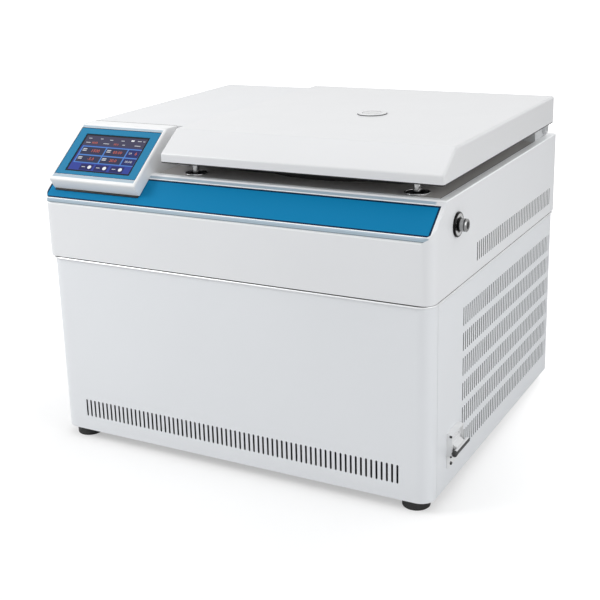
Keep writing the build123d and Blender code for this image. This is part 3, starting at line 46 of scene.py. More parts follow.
class Finish:
    """A socket in a finish's node tree, so that the sums between nodes read as arithmetic."""

    def __init__(self, tree, socket):
        self.tree = tree
        self.socket = socket

    def node(self, kind, settings=None, inputs=None, output=0):
        """Adds a node: its settings first, then the values or links of its sockets."""
        made = self.tree.nodes.new(kind)
        for name, value in (settings or {}).items():
            setattr(made, name, value)
        for name, value in (inputs or {}).items():
            if isinstance(value, Finish):
                self.tree.links.new(value.socket, made.inputs[name])
            else:
                made.inputs[name].default_value = value
        return Finish(self.tree, made.outputs[output])

    def sum(self, operation, first, second):
        return self.node("ShaderNodeMath", {"operation": operation}, {0: first, 1: second})

    def greater(self, other):
        """The greater of this value and another."""
        return self.sum("MAXIMUM", self, other)

    def vector(self, operation, other=(0, 0, 0)):
        """A vector sum with another vector, or the vector's length."""
        output = 1 if operation == "LENGTH" else 0
        return self.node(
            "ShaderNodeVectorMath", {"operation": operation}, {0: self, 1: other}, output
        )

    def axis(self, number):
        """One of the three parts of a vector."""
        return self.node("ShaderNodeSeparateXYZ", None, {"Vector": self}, number)

    def __add__(self, other):
        return self.sum("ADD", self, other)

    __radd__ = __add__

    def __sub__(self, other):
        return self.sum("SUBTRACT", self, other)

    def __rsub__(self, other):
        return self.sum("SUBTRACT", other, self)

    def __mul__(self, other):
        return self.sum("MULTIPLY", self, other)

    __rmul__ = __mul__

    def __truediv__(self, other):
        return self.sum("DIVIDE", self, other)


def new_finish(name):
    """A new procedural finish, its shader, and the place on the object it is worked out from."""
    made = bpy.data.materials.new(name)
    made.use_nodes = True
    tree = made.node_tree
    place = Finish(tree, tree.nodes.new("ShaderNodeTexCoord").outputs["Object"])
    return made, tree.nodes["Principled BSDF"], place


def shade(shader, place, values):
    """Sets a shader's sockets, each to a constant or to a link."""
    for name, value in values.items():
        if isinstance(value, Finish):
            place.tree.links.new(value.socket, shader.inputs[name])
        else:
            shader.inputs[name].default_value = value


def tint(mask, low, high):
    """One colour where the mask is 0 and another where it is 1."""
    return mask.node(
        "ShaderNodeMix", {"data_type": "RGBA", "clamp_factor": True},
        {0: mask, 6: low, 7: high}, 2,
    )


def grey(level, warm=0.0):
    """An opaque near-grey; warm above 0 turns it towards cream, below 0 towards blue."""
    return (level * (1 + warm), level, level * (1 - warm), 1.0)


def dress(names, finish):
    """Puts a finish on CAD nodes and rounds the look of their curved faces."""
    for name in names.split():
        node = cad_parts[name]
        node.data.materials.clear()
        node.data.materials.append(finish)
        if "custom_normal" in node.data.attributes:
            node.data.attributes.remove(node.data.attributes["custom_normal"])
        node.data.shade_smooth()
        weld = node.modifiers.new("weld", "WELD")
        weld.merge_threshold = 0.00001
        split = node.modifiers.new("crease", "EDGE_SPLIT")
        split.split_angle = math.radians(28)


crystals_per_metre = 70.0
galvanised, shader, place = new_finish("galvanised_sheet")
crystals = place.node(
    "ShaderNodeTexVoronoi", None, {"Vector": place, "Scale": crystals_per_metre}, 1
)
facet = crystals.node("ShaderNodeSeparateColor", None, {"Color": crystals})
shade(shader, place, {
    "Base Color": tint(facet, grey(0.50, -0.02), grey(0.62, -0.02)),
    "Metallic": 1.0,
    "Roughness": 0.36 + 0.16 * facet,
})
dress("base_tray", galvanised)

# ---------------------------------------------------------------- feet
# Four rubber feet, turned with a rounded lower edge. A zinc-plated bolt in the well of each
# one holds it up to the tray; the rubber is matt and dusty, with a fine moulded grain.
foot_radius = 0.019
foot_bolt = 0.0062
foot_bolt_head = 0.005


def mottle(place, size, detail=2.0, stretch=(1, 1, 1)):
    """Soft random patches of a size in metres, 0 to 1, drawn out by a stretch."""
    scale = tuple(1 / (size * s) for s in stretch)
    spot = place.node("ShaderNodeMapping", None, {"Vector": place, "Scale": scale})
    return spot.node("ShaderNodeTexNoise", None, {"Vector": spot, "Scale": 1.0, "Detail": detail})


def grain(height, depth):
    """A relief of so many metres."""
    return height.node(
        "ShaderNodeBump", None, {"Height": height, "Distance": depth, "Strength": 1.0}
    )


def patchy(name, patches, dark, light, gloss, metal=0.0, relief=None, depth=0.0):
    """A finish whose colour and roughness drift together over soft patches. Gloss is the least
    roughness and what the patches add to it. Patches and relief are each a size, and a detail
    and a stretch where they need them; a depth without a relief is that of the patches."""
    made, shader, place = new_finish(name)
    drift = mottle(place, *patches)
    values = {
        "Base Color": tint(drift, dark, light),
        "Metallic": metal,
        "Roughness": gloss[0] + gloss[1] * drift,
    }
    if depth:
        values["Normal"] = grain(mottle(place, *relief) if relief else drift, depth)
    shade(shader, place, values)
    return made


def piece(name, bm, finish, body):
    """Makes a finished mesh a piece that rides on a body, with its outsides outward."""
    bmesh.ops.recalc_face_normals(bm, faces=bm.faces)
    mesh = bpy.data.meshes.new(name)
    bm.to_mesh(mesh)
    bm.free()
    mesh.materials.append(finish)
    mesh.shade_smooth()
    mesh.set_sharp_from_angle(angle=math.radians(32))
    made = bpy.data.objects.new(name, mesh)
    bpy.context.scene.collection.objects.link(made)
    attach(made, body)


def screw(bm, spot, way, radius, height):
    """A button-head screw with a hexagon socket, its head standing on a spot."""
    crown = 0.72 * radius
    socket = 0.42 * radius
    socket_depth = 0.6 * height
    seat = Matrix.Translation(spot) @ Vector(way).to_track_quat("Z", "Y").to_matrix().to_4x4()
    made = bmesh.ops.create_cone(
        bm, segments=24, radius1=radius, radius2=crown, depth=height,
        matrix=seat @ Matrix.Translation((0, 0, height / 2)),
    )["verts"]
    made += bmesh.ops.create_cone(
        bm, segments=6, radius1=socket, radius2=socket, depth=socket_depth,
        matrix=seat @ Matrix.Translation((0, 0, height - socket_depth / 2)),
    )["verts"]
    back = seat.inverted()
    edges = {edge for vert in made for edge in vert.link_edges}
    top = [e for e in edges if all((back @ v.co).z > 0.99 * height for v in e.verts)]
    ends = [e for e in edges if all((back @ v.co).z < 0.45 * height for v in e.verts)]
    bmesh.ops.bridge_loops(bm, edges=top)
    bmesh.ops.holes_fill(bm, edges=ends, sides=24)


rubber = patchy(
    "black_rubber", (0.03, 3.0), grey(0.010), grey(0.024), gloss=(0.38, 0.2),
    relief=(0.0008,), depth=0.00008,
)
dress("feet", rubber)
zinc = patchy(
    "zinc_plated_steel", (0.02, 4.0), grey(0.50, -0.03), grey(0.64, -0.01), gloss=(0.30, 0.18),
    metal=1.0, relief=(0.0015, 3.0, (1, 6, 1)), depth=0.00001,
)
low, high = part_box("feet")
tray_low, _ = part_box("base_tray")
bm = bmesh.new()
for x in (low.x + foot_radius, high.x - foot_radius):
    for y in (low.y + foot_radius, high.y - foot_radius):
        screw(bm, (x, y, tray_low.z), (0, 0, -1), foot_bolt, foot_bolt_head)
piece("foot_bolts", bm, zinc, "cabinet")

# ---------------------------------------------------------------- cabinet panels
# Sheet steel, folded and powder coated a cool white. The coat is satin and has the very fine
# orange peel of baked powder. The walls of the narrow slots are darkened with painted shade.
cabinet_corner = 0.020
slot_shade_rim = (0.00015, 0.00045)    # how deep in a slot's wall turns dark
panel_low, panel_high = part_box("rear_panel")
front_low, front_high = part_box("front_panel")
middle_x = (front_low.x + front_high.x) / 2
cabinet_half = (front_high.x - middle_x, panel_high.y)


def step(value, low, high):
    """0 below low, 1 above high, smooth between."""
    return value.node(
        "ShaderNodeMapRange", {"interpolation_type": "SMOOTHSTEP", "clamp": True},
        {"Value": value, "From Min": low, "From Max": high},
    )


def depth_inside(place, middle, half, corner):
    """How deep a point lies inside an upright box with rounded corners, up to their radius."""
    off = place.vector("SUBTRACT", (*middle, 0)).vector("ABSOLUTE")
    past = off.vector("SUBTRACT", (half[0] - corner, half[1] - corner, 0))
    past = past.vector("MAXIMUM", (0, 0, 0)).vector("MULTIPLY", (1, 1, 0))
    return corner - past.vector("LENGTH")


def sprayed(name, colour, peel, roughness, depth, bands=()):
    """A baked coat or a moulded skin: even colour with faint clouds, and a fine relief.
    Each band is a mask worked out from the place, and the colour that it turns the skin."""
    made, shader, place = new_finish(name)
    pale = tuple(min(1.0, c * 1.012) for c in colour[:3]) + (1.0,)
    deep = tuple(c * 0.982 for c in colour[:3]) + (1.0,)
    skin = tint(mottle(place, 0.16, 2.0), deep, pale)
    for mask, other in bands:
        skin = tint(mask(place), skin, other)
    shade(shader, place, {
        "Base Color": skin,
        "Roughness": roughness + 0.10 * mottle(place, 0.05, 3.0),
        "Normal": grain(mottle(place, peel, 1.0), depth),
    })
    return made


# Painted shade: the walls of the cabinet's slots turn dark a little way in.
def in_a_slot(place):
    return step(depth_inside(place, (middle_x, 0), cabinet_half, cabinet_corner), *slot_shade_rim)


powder_white = sprayed(
    "white_powder_coat", (0.800, 0.818, 0.842, 1), peel=0.0022, roughness=0.30, depth=0.000012,
    bands=[(in_a_slot, grey(0.02))],
)
dress("front_panel right_side_panel left_side_panel rear_panel", powder_white)

# Eight button-head screws hold the rear panel to the frame behind it.
rear_screw = 0.0042
rear_screw_head = 0.0018
rear_screw_inset = 0.014
middle_z = (panel_low.z + panel_high.z) / 2
bm = bmesh.new()
for x in (panel_low.x + rear_screw_inset, middle_x, panel_high.x - rear_screw_inset):
    for z in (panel_low.z + rear_screw_inset, middle_z, panel_high.z - rear_screw_inset):
        if (x, z) != (middle_x, middle_z):
            screw(bm, (x, panel_high.y, z), (0, 1, 0), rear_screw, rear_screw_head)
piece("rear_panel_screws", bm, zinc, "cabinet")

# ---------------------------------------------------------------- seam of the cabinet
# A soft black gasket is squeezed between the cabinet and the housing's overhanging edge, and
# stands in for the shadow under that edge. Under it, a bead of bright polished metal is pressed
# over the top edge of the cabinet's sheet.
housing_low, housing_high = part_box("upper_housing")
rear_corner = 0.003
seam_z = housing_low.z


def round_band(middle, half, corners, across, low, high, edge):
    """A level band with rounded corners, front and back, its outer edges softened."""
    bm = bmesh.new()
    bmesh.ops.create_grid(bm, x_segments=1, y_segments=1, size=1.0)
    bmesh.ops.scale(bm, vec=(*half, 1), verts=bm.verts)
    for side, radius in zip((-1, 1), corners):
        bmesh.ops.bevel(
            bm, geom=[v for v in bm.verts if v.co.y * side > 0.999 * half[1]],
            offset=radius, segments=10, profile=0.5, affect="VERTICES", material=-1,
        )
    plate = bm.faces[:]
    bmesh.ops.inset_region(bm, faces=plate, thickness=across, use_boundary=True)
    bmesh.ops.delete(bm, geom=plate, context="FACES")
    rim = bmesh.ops.extrude_face_region(bm, geom=bm.faces[:])["geom"]
    bmesh.ops.translate(
        bm, vec=(0, 0, high - low), verts=[g for g in rim if isinstance(g, bmesh.types.BMVert)]
    )
    bmesh.ops.translate(bm, vec=(*middle, low), verts=bm.verts)
    level = [e for e in bm.edges if abs(e.verts[0].co.z - e.verts[1].co.z) < 1e-6]
    bmesh.ops.bevel(
        bm, geom=[e for e in level if e.calc_face_angle(0) > 1], offset=edge, segments=3,
        profile=0.5, affect="EDGES", material=-1,
    )
    return bm


def seam_ring(name, finish, out, across, low, high, edge):
    """A band that stands out from the cabinet's faces, its low and high side from the seam."""
    bm = round_band(
        (middle_x, 0), [side + out for side in cabinet_half],
        (cabinet_corner + out, rear_corner + out), across, seam_z + low, seam_z + high, edge,
    )
    piece(name, bm, finish, "cabinet")


soft_rubber = patchy(
    "soft_black_rubber", (0.012, 3.0), grey(0.004), grey(0.010), gloss=(0.55, 0.2),
    relief=(0.0007,), depth=0.00004,
)
bead_metal = patchy(
    "polished_bead", (0.0008, 1.0), (0.93, 0.94, 0.95, 1), (0.97, 0.98, 0.99, 1),
    gloss=(0.30, 0.08), metal=1.0,
)
# A black gasket that also stands in for the shadow under the housing's overhang.
seam_ring(
    "seam_gasket_and_shade", soft_rubber,
    out=0.0018, across=0.0028, low=-0.0012, high=0.0002, edge=0.0002,
)
seam_ring(
    "cabinet_edge_bead", bead_metal,
    out=0.0026, across=0.0036, low=-0.0038, high=-0.0012, edge=0.0010,
)

# ---------------------------------------------------------------- mains inlet
# A moulded inlet clipped into the rear panel, with three brass pins for the mains lead: two
# in line and the earth pin above them.
pin_size = (0.002, 0.016, 0.004)
pin_edge = 0.0005
pin_depth = 0.0125    # from the inlet's face to the middle of its pins
pin_places = ((-0.007, -0.002), (0.007, -0.002), (0.0, 0.002))


def block(bm, middle, size, edge, turn=None):
    """A block with softened edges, round a middle."""
    place = Matrix.Translation(middle) @ (turn or Matrix.Identity(4)) @ Matrix.Diagonal((*size, 1))
    made = bmesh.ops.create_cube(bm, size=1.0, matrix=place)["verts"]
    edges = list({e for v in made for e in v.link_edges})
    bmesh.ops.bevel(
        bm, geom=edges, offset=edge, segments=2, profile=0.5, affect="EDGES", material=-1
    )


black_moulding = patchy(
    "black_moulding", (0.02, 3.0), grey(0.012), grey(0.020), gloss=(0.36, 0.14),
    relief=(0.0005,), depth=0.00003,
)
dress("power_inlet", black_moulding)
brass = patchy(
    "plated_brass", (0.002, 3.0, (1, 8, 1)), (0.62, 0.47, 0.24, 1), (0.74, 0.62, 0.40, 1),
    gloss=(0.22, 0.16), metal=1.0,
)
low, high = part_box("power_inlet")
inlet = Vector(((low.x + high.x) / 2, high.y - pin_depth, (low.z + high.z) / 2))
bm = bmesh.new()
for x, z in pin_places:
    block(bm, inlet + Vector((x, 0, z)), pin_size, pin_edge)
piece("inlet_pins", bm, brass, "cabinet")

# ---------------------------------------------------------------- upper housing
# One deep moulding that carries the deck, with rounded corners and a slope along the front.
# Satin white, with painted light on it: grey-blue bands of painted shade border the strip, the
# lower one darker at its foot, and painted highlights edge the bands, the strip's right end and
# the rim.
housing_corner = 0.016
housing_half = ((housing_high.x - housing_low.x) / 2, housing_high.y)
slope_height = 0.0865
slope_rise = 0.0385
slope_run = 0.0486
slope_angle = math.atan2(slope_rise, slope_run)
slope_foot = (housing_low.y, seam_z + slope_height)
slope_layer = (-0.0012, 0.0008)    # a thin layer about the slope's face
strip_edges = (0.0038, 0.053)      # up the slope
groove_z = slope_foot[1] - 0.005
groove_lip = groove_z + 0.0007
dark_foot = groove_z + 0.0018
low_band_top = 0.0024              # up the slope
high_band_top = strip_edges[1] + 0.0056
bright_line = 0.0014
band_end = housing_high.x - 0.015
band_slant = 1.8                   # how far the lower band's end leans out for each metre up
band_back = housing_low.y + 0.004
slope_back = housing_low.y + slope_run + 0.0034
rim_line = housing_high.z - 0.0018
white_skin = (0.815, 0.825, 0.842, 1)
painted_shade_blue = (0.40, 0.50, 0.58, 1)
painted_deep_shade_blue = (0.20, 0.25, 0.285, 1)
painted_highlight_white = (0.96, 0.975, 0.985, 1)


def under(value, limit, soft):
    """1 up to a limit, fading to 0 just past it."""
    return 1 - step(value, limit, limit + soft)


def between(value, low, high, soft=0.0002):
    """1 between two values and 0 outside them, with soft edges."""
    return step(value, low - soft, low) * under(value, high, soft)


def up_the_slope(place):
    """How far up the slope a point lies, from the slope's lower edge."""
    return (place.axis(1) - slope_foot[0]) * math.cos(slope_angle) + (
        place.axis(2) - slope_foot[1]
    ) * math.sin(slope_angle)


def off_the_slope(place):
    """How far above the slope's face a point lies."""
    return (place.axis(2) - slope_foot[1]) * math.cos(slope_angle) - (
        place.axis(1) - slope_foot[0]
    ) * math.sin(slope_angle)


# Painted shade: the walls of the housing's slots below the groove turn dark a little way in.
def housing_slot(place):
    deep = depth_inside(place, (middle_x, 0), housing_half, housing_corner)
    return step(deep, *slot_shade_rim) * under(place.axis(2), groove_z - 0.003, 0.001)


def low_band(place):
    """The band of painted shade under the strip, cut off at a slant at its right end."""
    up = up_the_slope(place)
    slanted = place.axis(0) - band_slant * (place.axis(2) - groove_z)
    return (
        step(place.axis(2), groove_lip, groove_lip + 0.0002) * under(up, low_band_top, 0.0004)
        * under(slanted, band_end, 0.001) * under(place.axis(1), band_back, 0.0005)
    )


def low_band_foot(place):
    return low_band(place) * under(place.axis(2), dark_foot, 0.0004)


def high_band(place):
    return (
        between(up_the_slope(place), strip_edges[1] + bright_line, high_band_top, 0.0004)
        * between(off_the_slope(place), *slope_layer) * under(place.axis(0), band_end, 0.004)
    )


def bright_edge(place):
    """The painted highlights beside the strip, round the groove, past the bands' end and at the
    rim.
    """
    up = up_the_slope(place)
    beside = between(up, low_band_top, strip_edges[0]) + between(
        up, strip_edges[1], strip_edges[1] + bright_line
    )
    below = between(place.axis(2), groove_z - 0.0018, groove_lip)
    along = (
        (beside * between(off_the_slope(place), *slope_layer) + below)
        * under(place.axis(1), slope_back, 0.001) * under(place.axis(0), band_end, 0.001)
    )
    end = between(place.axis(0), band_end - 0.0002, band_end + 0.0036) * between(
        up, strip_edges[0] - 0.0002, strip_edges[1] + 0.001
    )
    return step(place.axis(2), rim_line, rim_line + 0.0004).greater(along.greater(end))


# The bands are painted shade and the bright lines are painted highlights.
housing_white = sprayed(
    "white_housing", white_skin, peel=0.0014, roughness=0.27, depth=0.000010,
    bands=[
        (housing_slot, grey(0.02)), (low_band, painted_shade_blue), (high_band, painted_shade_blue),
        (low_band_foot, painted_deep_shade_blue), (bright_edge, painted_highlight_white),
    ],
)
dress("upper_housing", housing_white)

# ---------------------------------------------------------------- blue strip
# A printed blue strip of polycarbonate let into the slope, with a painted shadow along its edge
# where it meets its recess, and the fine grain of its textured film.
strip_low, strip_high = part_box("fascia_strip")
strip_gap = 0.0003
strip_shade_line = 0.0026
strip_blue, shader, place = new_finish("blue_strip")
weave = mottle(place, 0.0006, 1.0)
# The field inside the painted shadow that runs along the strip's edge.
field = between(
    place.axis(0), strip_low.x + strip_shade_line, strip_high.x - strip_shade_line, 0.0003
) * between(
    up_the_slope(place), strip_edges[0] + strip_gap + strip_shade_line,
    strip_edges[1] - strip_gap - strip_shade_line, 0.0003,
)
shade(shader, place, {
    "Base Color": tint(field, (0.001, 0.020, 0.055, 1), tint(
        mottle(place, 0.2), (0.0005, 0.188, 0.395, 1), (0.001, 0.200, 0.418, 1)
    )),
    "Roughness": 0.42 + 0.08 * weave,
    "Specular IOR Level": 0.10,
    "Normal": grain(weave, 0.00001),
})
dress("fascia_strip", strip_blue)

# ---------------------------------------------------------------- deck
# A flat plate in the housing's sunk top. Its border is painted a warm grey; the field that lies
# under the lid is painted black as painted shade, and a thin painted shadow runs round its edge.
deck_low, deck_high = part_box("deck_panel")
lid_low, lid_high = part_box("lid_shell")
field_border = 0.056
field_round = 0.030
field_fade = 0.012
deck_shade_width = 0.0030
field_edges = (
    lid_low.x + field_border, deck_high.x - field_border,
    deck_low.y + field_border, deck_high.y - field_border,
)


# Painted shade: black over the field that lies under the lid.
def under_the_lid(place):
    left, right, front, back = field_edges
    middle = ((left + right) / 2, (front + back) / 2)
    half = ((right - left) / 2, (back - front) / 2)
    return step(depth_inside(place, middle, half, field_round), 0.0, field_fade)


# Painted shadow: a thin dark line round the plate's edge.
def deck_seal(place):
    return 1 - between(place.axis(0), deck_low.x + deck_shade_width, deck_high.x - deck_shade_width) * between(
        place.axis(1), deck_low.y + deck_shade_width, deck_high.y - deck_shade_width
    )


deck_grey = sprayed(
    "grey_deck_paint", (0.480, 0.462, 0.450, 1), peel=0.0022, roughness=0.50, depth=0.000014,
    bands=[(under_the_lid, grey(0.010)), (deck_seal, grey(0.06))],
)
dress("deck_panel", deck_grey)

# ---------------------------------------------------------------- console
# A moulded column beside the lid carries a wedge-shaped pod, both white. Grey-blue bands of
# painted shade border the bezel above and below, and a painted shadow marks the open joint
# between pod and column.
_, column_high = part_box("console_column")
pod_low, pod_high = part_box("console_pod")
pod_tilt = math.radians(36.6)
pod_crest = 0.027
pod_face = (pod_high.y - pod_crest, pod_high.z)
pod_layer = (-0.0004, 0.0012)    # a thin layer about the pod's face
bezel_edges = (0.0078, 0.0988)   # down the pod
band_gap = 0.0008
top_band = 0.0042
foot_band = 0.0056
band_inset = 0.004
joint_half = 0.0010


def down_the_pod(place):
    """How far down the pod's face a point lies, from its crest."""
    return (pod_face[0] - place.axis(1)) * math.cos(pod_tilt) + (
        pod_face[1] - place.axis(2)
    ) * math.sin(pod_tilt)


def on_the_pod(place):
    """1 on the pod's sloping face and 0 elsewhere."""
    off = (pod_face[0] - place.axis(1)) * math.sin(pod_tilt) - (
        pod_face[1] - place.axis(2)
    ) * math.cos(pod_tilt)
    return between(off, *pod_layer) * under(place.axis(1), pod_face[0], 0.001)


# Painted shade: grey-blue bands above and below the bezel.
def pod_bands(place):
    down = down_the_pod(place)
    top = between(down, bezel_edges[0] - top_band, bezel_edges[0] - band_gap, 0.0004)
    foot = between(down, bezel_edges[1] + band_gap, bezel_edges[1] + foot_band, 0.0004)
    return (top + foot) * on_the_pod(place) * between(
        place.axis(0), pod_low.x + band_inset, pod_high.x - band_inset
    )


# Painted shadow along the open joint between pod and column.
def pod_joint(place):
    return between(place.axis(1), pod_high.y - joint_half, pod_high.y + joint_half) * under(
        place.axis(0), pod_high.x - 0.0005, 0.0005
    )


console_painted_shades = [(pod_bands, painted_shade_blue), (pod_joint, grey(0.035))]
console_white = sprayed(
    "white_console", (0.765, 0.772, 0.786, 1), peel=0.0014, roughness=0.27, depth=0.000010,
    bands=console_painted_shades,
)
dress("console_column", console_white)
# The pod's white is a lighter copy of the column's: light painted onto the pod.
lighter_pod_white = sprayed(
    "lighter_white_pod", (0.865, 0.868, 0.872, 1), peel=0.0014, roughness=0.27, depth=0.000010,
    bands=console_painted_shades,
)
dress("console_pod", lighter_pod_white)

# A white weather strip pushed onto the column's edge fills the gap beside the lid, and a black
# foam strip closes the joint under the pod's front edge and stands in for the shadow there.
gap_bite = 0.002
gap_play = 0.0008
gap_end = 0.008
gap_width = lid_low.x - column_high.x - gap_play
gap_drop = 0.0042
gap_height = 0.0040
bm = bmesh.new()
block(
    bm,
    (
        column_high.x + (gap_width - gap_bite) / 2, (column_high.y + pod_high.y) / 2,
        column_high.z - gap_drop,
    ),
    (gap_width + gap_bite, column_high.y - pod_high.y - gap_end, gap_height), 0.0008,
)
piece("column_edge_strip", bm, console_white, "cabinet")

shade_foam_y = -0.2470    # the middle of the pod's front edge
shade_foam_z = 0.3884
shade_foam_inset = 0.002
shade_foam_size = (pod_high.x - pod_low.x - 2 * shade_foam_inset, 0.0070, 0.0030)
# Black foam that also stands in for the shadow under the pod's front edge.
bm = bmesh.new()
block(
    bm, ((pod_low.x + pod_high.x) / 2, shade_foam_y, shade_foam_z), shade_foam_size, 0.0004,
    Matrix.Rotation(slope_angle, 4, "X"),
)
piece("pod_foot_shade_strip", bm, soft_rubber, "cabinet")

# ---------------------------------------------------------------- bezel
# A frame of blue moulding let into the pod's face round the screen, with a painted shadow round
# its outer edge where it meets the pod.
low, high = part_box("console_bezel")
bezel_rim = 0.0010


# Painted shadow round the bezel's outer edge.
def bezel_line(place):
    return 1 - between(place.axis(0), low.x + bezel_rim, high.x - bezel_rim) * between(
        down_the_pod(place), bezel_edges[0] + bezel_rim, bezel_edges[1] - bezel_rim
    )


bezel_blue = sprayed(
    "blue_bezel", (0.006, 0.190, 0.365, 1), peel=0.0010, roughness=0.36, depth=0.000010,
    bands=[(bezel_line, (0.001, 0.030, 0.075, 1))],
)
bezel_blue.node_tree.nodes["Principled BSDF"].inputs["Specular IOR Level"].default_value = 0.25
dress("console_bezel", bezel_blue)

# ---------------------------------------------------------------- touch screen
# A lit five-inch panel behind black glass. It shows a dark status bar, two rows of readings
# in outlined cells and three round-cornered buttons on a blue ground.
low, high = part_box("touch_screen")
screen_width = high.x - low.x
screen_height = 0.072
screen_top = 0.0193
screen_sink = 0.0006

# The edges of the cells and buttons, as fractions of the screen's width and height
columns = ((0.065, 0.425), (0.447, 0.765), (0.787, 0.972))
rows = ((0.345, 0.540), (0.575, 0.745))
buttons = ((0.195, 0.390), (0.425, 0.625), (0.670, 0.870))
button_row = (0.800, 0.950)
screen_blue = (0.012, 0.034, 0.260, 1)
screen_violet = (0.022, 0.046, 0.310, 1)
bar_ink = (0.046, 0.043, 0.092, 1)
line_ink = (0.075, 0.230, 0.640, 1)
cell_ink = (0.020, 0.024, 0.072, 1)
clock_ink = (0.010, 0.018, 0.130, 1)
button_ink = (0.008, 0.010, 0.105, 1)
border_ink = (0.0, 0.0, 0.004, 1)
screen_glass, shader, place = new_finish("lit_screen")
across = (place.axis(0) - low.x) / screen_width
down = (down_the_pod(place) - screen_top) / screen_height


def patch_of(left, right, top, foot):
    return between(across, left, right, 0.004) * between(down, top, foot, 0.006)


violet = step(down + 0.25 * (1 - across), 0.35, 1.05)
picture = tint(violet, screen_blue, screen_violet)
picture = tint(step(down, 0.285, 0.325), bar_ink, picture)
picture = tint(patch_of(0.048, 0.985, 0.320, 0.765), picture, line_ink)
for left, right in columns:
    for top, foot in rows:
        ink = clock_ink if (left, right) == columns[-1] else cell_ink
        picture = tint(patch_of(left, right, top, foot), picture, ink)
for left, right in buttons:
    picture = tint(patch_of(left, right, *button_row), picture, button_ink)
lit = patch_of(0.026, 0.974, 0.040, 0.960)
shade(shader, place, {
    "Base Color": grey(0.006),
    "Roughness": 0.14 + 0.04 * mottle(place, 0.01),
    "Emission Color": tint(lit, border_ink, picture),
    "Emission Strength": 1.0,
    "Specular IOR Level": 0.20,
})
dress("touch_screen", screen_glass)

# The marks on the screen: white labels and icons, and the readings in red figures. They carry
# numbers only.
mark_lift = 0.00012
mark_edge = 0.00003
dash = 0.0011
face = Matrix.Translation((
    low.x,
    pod_face[0] - screen_top * math.cos(pod_tilt) + screen_sink * math.sin(pod_tilt),
    pod_face[1] - screen_top * math.sin(pod_tilt) - screen_sink * math.cos(pod_tilt),
)) @ Matrix.Rotation(pod_tilt, 4, "X")


def on_screen(left, top):
    """A place on the glass, from fractions of its width and height."""
    return face @ Matrix.Translation((left * screen_width, -top * screen_height, mark_lift / 2))


def bar(bm, left, top, wide, tall):
    """A small lit bar in metres, round a place on the glass."""
    spot = on_screen(left, top).translation
    block(bm, spot, (wide, tall, mark_lift), mark_edge, face.to_3x3().to_4x4())


def figures(bm, text, size, place):
    """Raised figures, made a mesh and then set in their place."""
    line = bpy.data.curves.new("figures", "FONT")
    line.body = text
    line.size = size
    line.extrude = mark_lift / 2
    line.resolution_u = 2
    line.align_x = "CENTER"
    line.align_y = "CENTER"
    words = bpy.data.objects.new("figures", line)
    mesh = bpy.data.meshes.new_from_object(words)
    mesh.transform(place)
    bm.from_mesh(mesh)
    bpy.data.objects.remove(words)
    bpy.data.meshes.remove(mesh)


def glowing(name, colour):
    """Light from a mark on the screen, a little uneven as it is on a panel of dots."""
    made, shader, place = new_finish(name)
    dots = mottle(place, 0.0004, 0.0)
    deep = tuple(0.82 * c for c in colour) + (1.0,)
    shade(shader, place, {
        "Base Color": grey(0.01),
        "Roughness": 0.2 + 0.1 * dots,
        "Emission Color": tint(dots, deep, (*colour, 1.0)),
        "Emission Strength": 1.0,
    })
    return made


cell_mark = (0.0070, 0.0016)
button_mark = (0.0062, 0.0012)
bm = bmesh.new()

# The middle of each dash in the status bar and its width, as fractions of the screen
status = (
    (0.100, 0.115, 0.050), (0.285, 0.115, 0.040), (0.440, 0.130, 0.050), (0.620, 0.130, 0.050),
    (0.875, 0.110, 0.060), (0.945, 0.110, 0.030),
    (0.100, 0.230, 0.070), (0.390, 0.235, 0.090), (0.665, 0.235, 0.040), (0.880, 0.235, 0.090),
)
for left, top, wide in status:
    bar(bm, left, top, wide * screen_width, dash)
for left, right in columns[:2]:
    for top, foot in rows:
        for drop in (0.30, 0.52):
            bar(bm, left + 0.050, top + drop * (foot - top), *cell_mark)
button_middle = sum(button_row) / 2
for left, right in buttons:
    bar(bm, left + 0.055, button_middle, *button_mark)
figures(bm, "24", 0.0052, on_screen(0.838, 0.440))
figures(bm, "00:00", 0.0056, on_screen(0.880, 0.660))
piece("screen_labels", bm, glowing("label_light", (0.62, 0.64, 0.70)), "cabinet")

icon = 0.0031
icon_lift = mark_lift / 2
battery = (0.0052, 0.0026)
bm = bmesh.new()
for left, right in buttons:
    spot = on_screen(right - 0.045, button_middle) @ Matrix.Translation((0, 0, icon_lift / 2))
    bmesh.ops.create_cone(
        bm, cap_ends=True, segments=24, radius1=icon, radius2=icon, depth=icon_lift, matrix=spot
    )
bar(bm, 0.770, 0.110, *battery)
piece("screen_icons", bm, glowing("icon_light", (0.90, 0.92, 0.95)), "cabinet")

bm = bmesh.new()

# Each reading, the middle of its figures as fractions of the screen, and their size
readings = (
    ("1500", 0.290, 0.445, 0.0078), ("05:00", 0.640, 0.445, 0.0072), ("6", 0.925, 0.440, 0.0080),
    ("-5.0", 0.290, 0.662, 0.0074), ("20.0", 0.640, 0.662, 0.0074),
    ("0000", 0.205, 0.230, 0.0052), ("00.0", 0.545, 0.235, 0.0048),
)
for text, left, top, size in readings:
    figures(bm, text, size, on_screen(left, top))
piece("screen_readings", bm, glowing("reading_light", (0.62, 0.120, 0.070)), "cabinet")

# ---------------------------------------------------------------- lid latch
# Chrome pins under the lid drop through rubber grommets with bright rings onto steel hooks
# below the deck, which a solenoid turns on a shaft.
chrome, shader, place = new_finish("polished_chrome")
lines = mottle(place, 0.0008, 2.0, (1, 1, 0.05))
shade(shader, place, {
    "Base Color": grey(0.62),
    "Metallic": 1.0,
    "Roughness": 0.07 + 0.08 * lines,
    "Normal": grain(lines, 0.000004),
})
dress("latch_pins grommet_rings", chrome)
dress("pin_grommets", soft_rubber)
dress("latch_brackets latch_hooks solenoid_plunger", zinc)
dress("latch_solenoid", black_moulding)

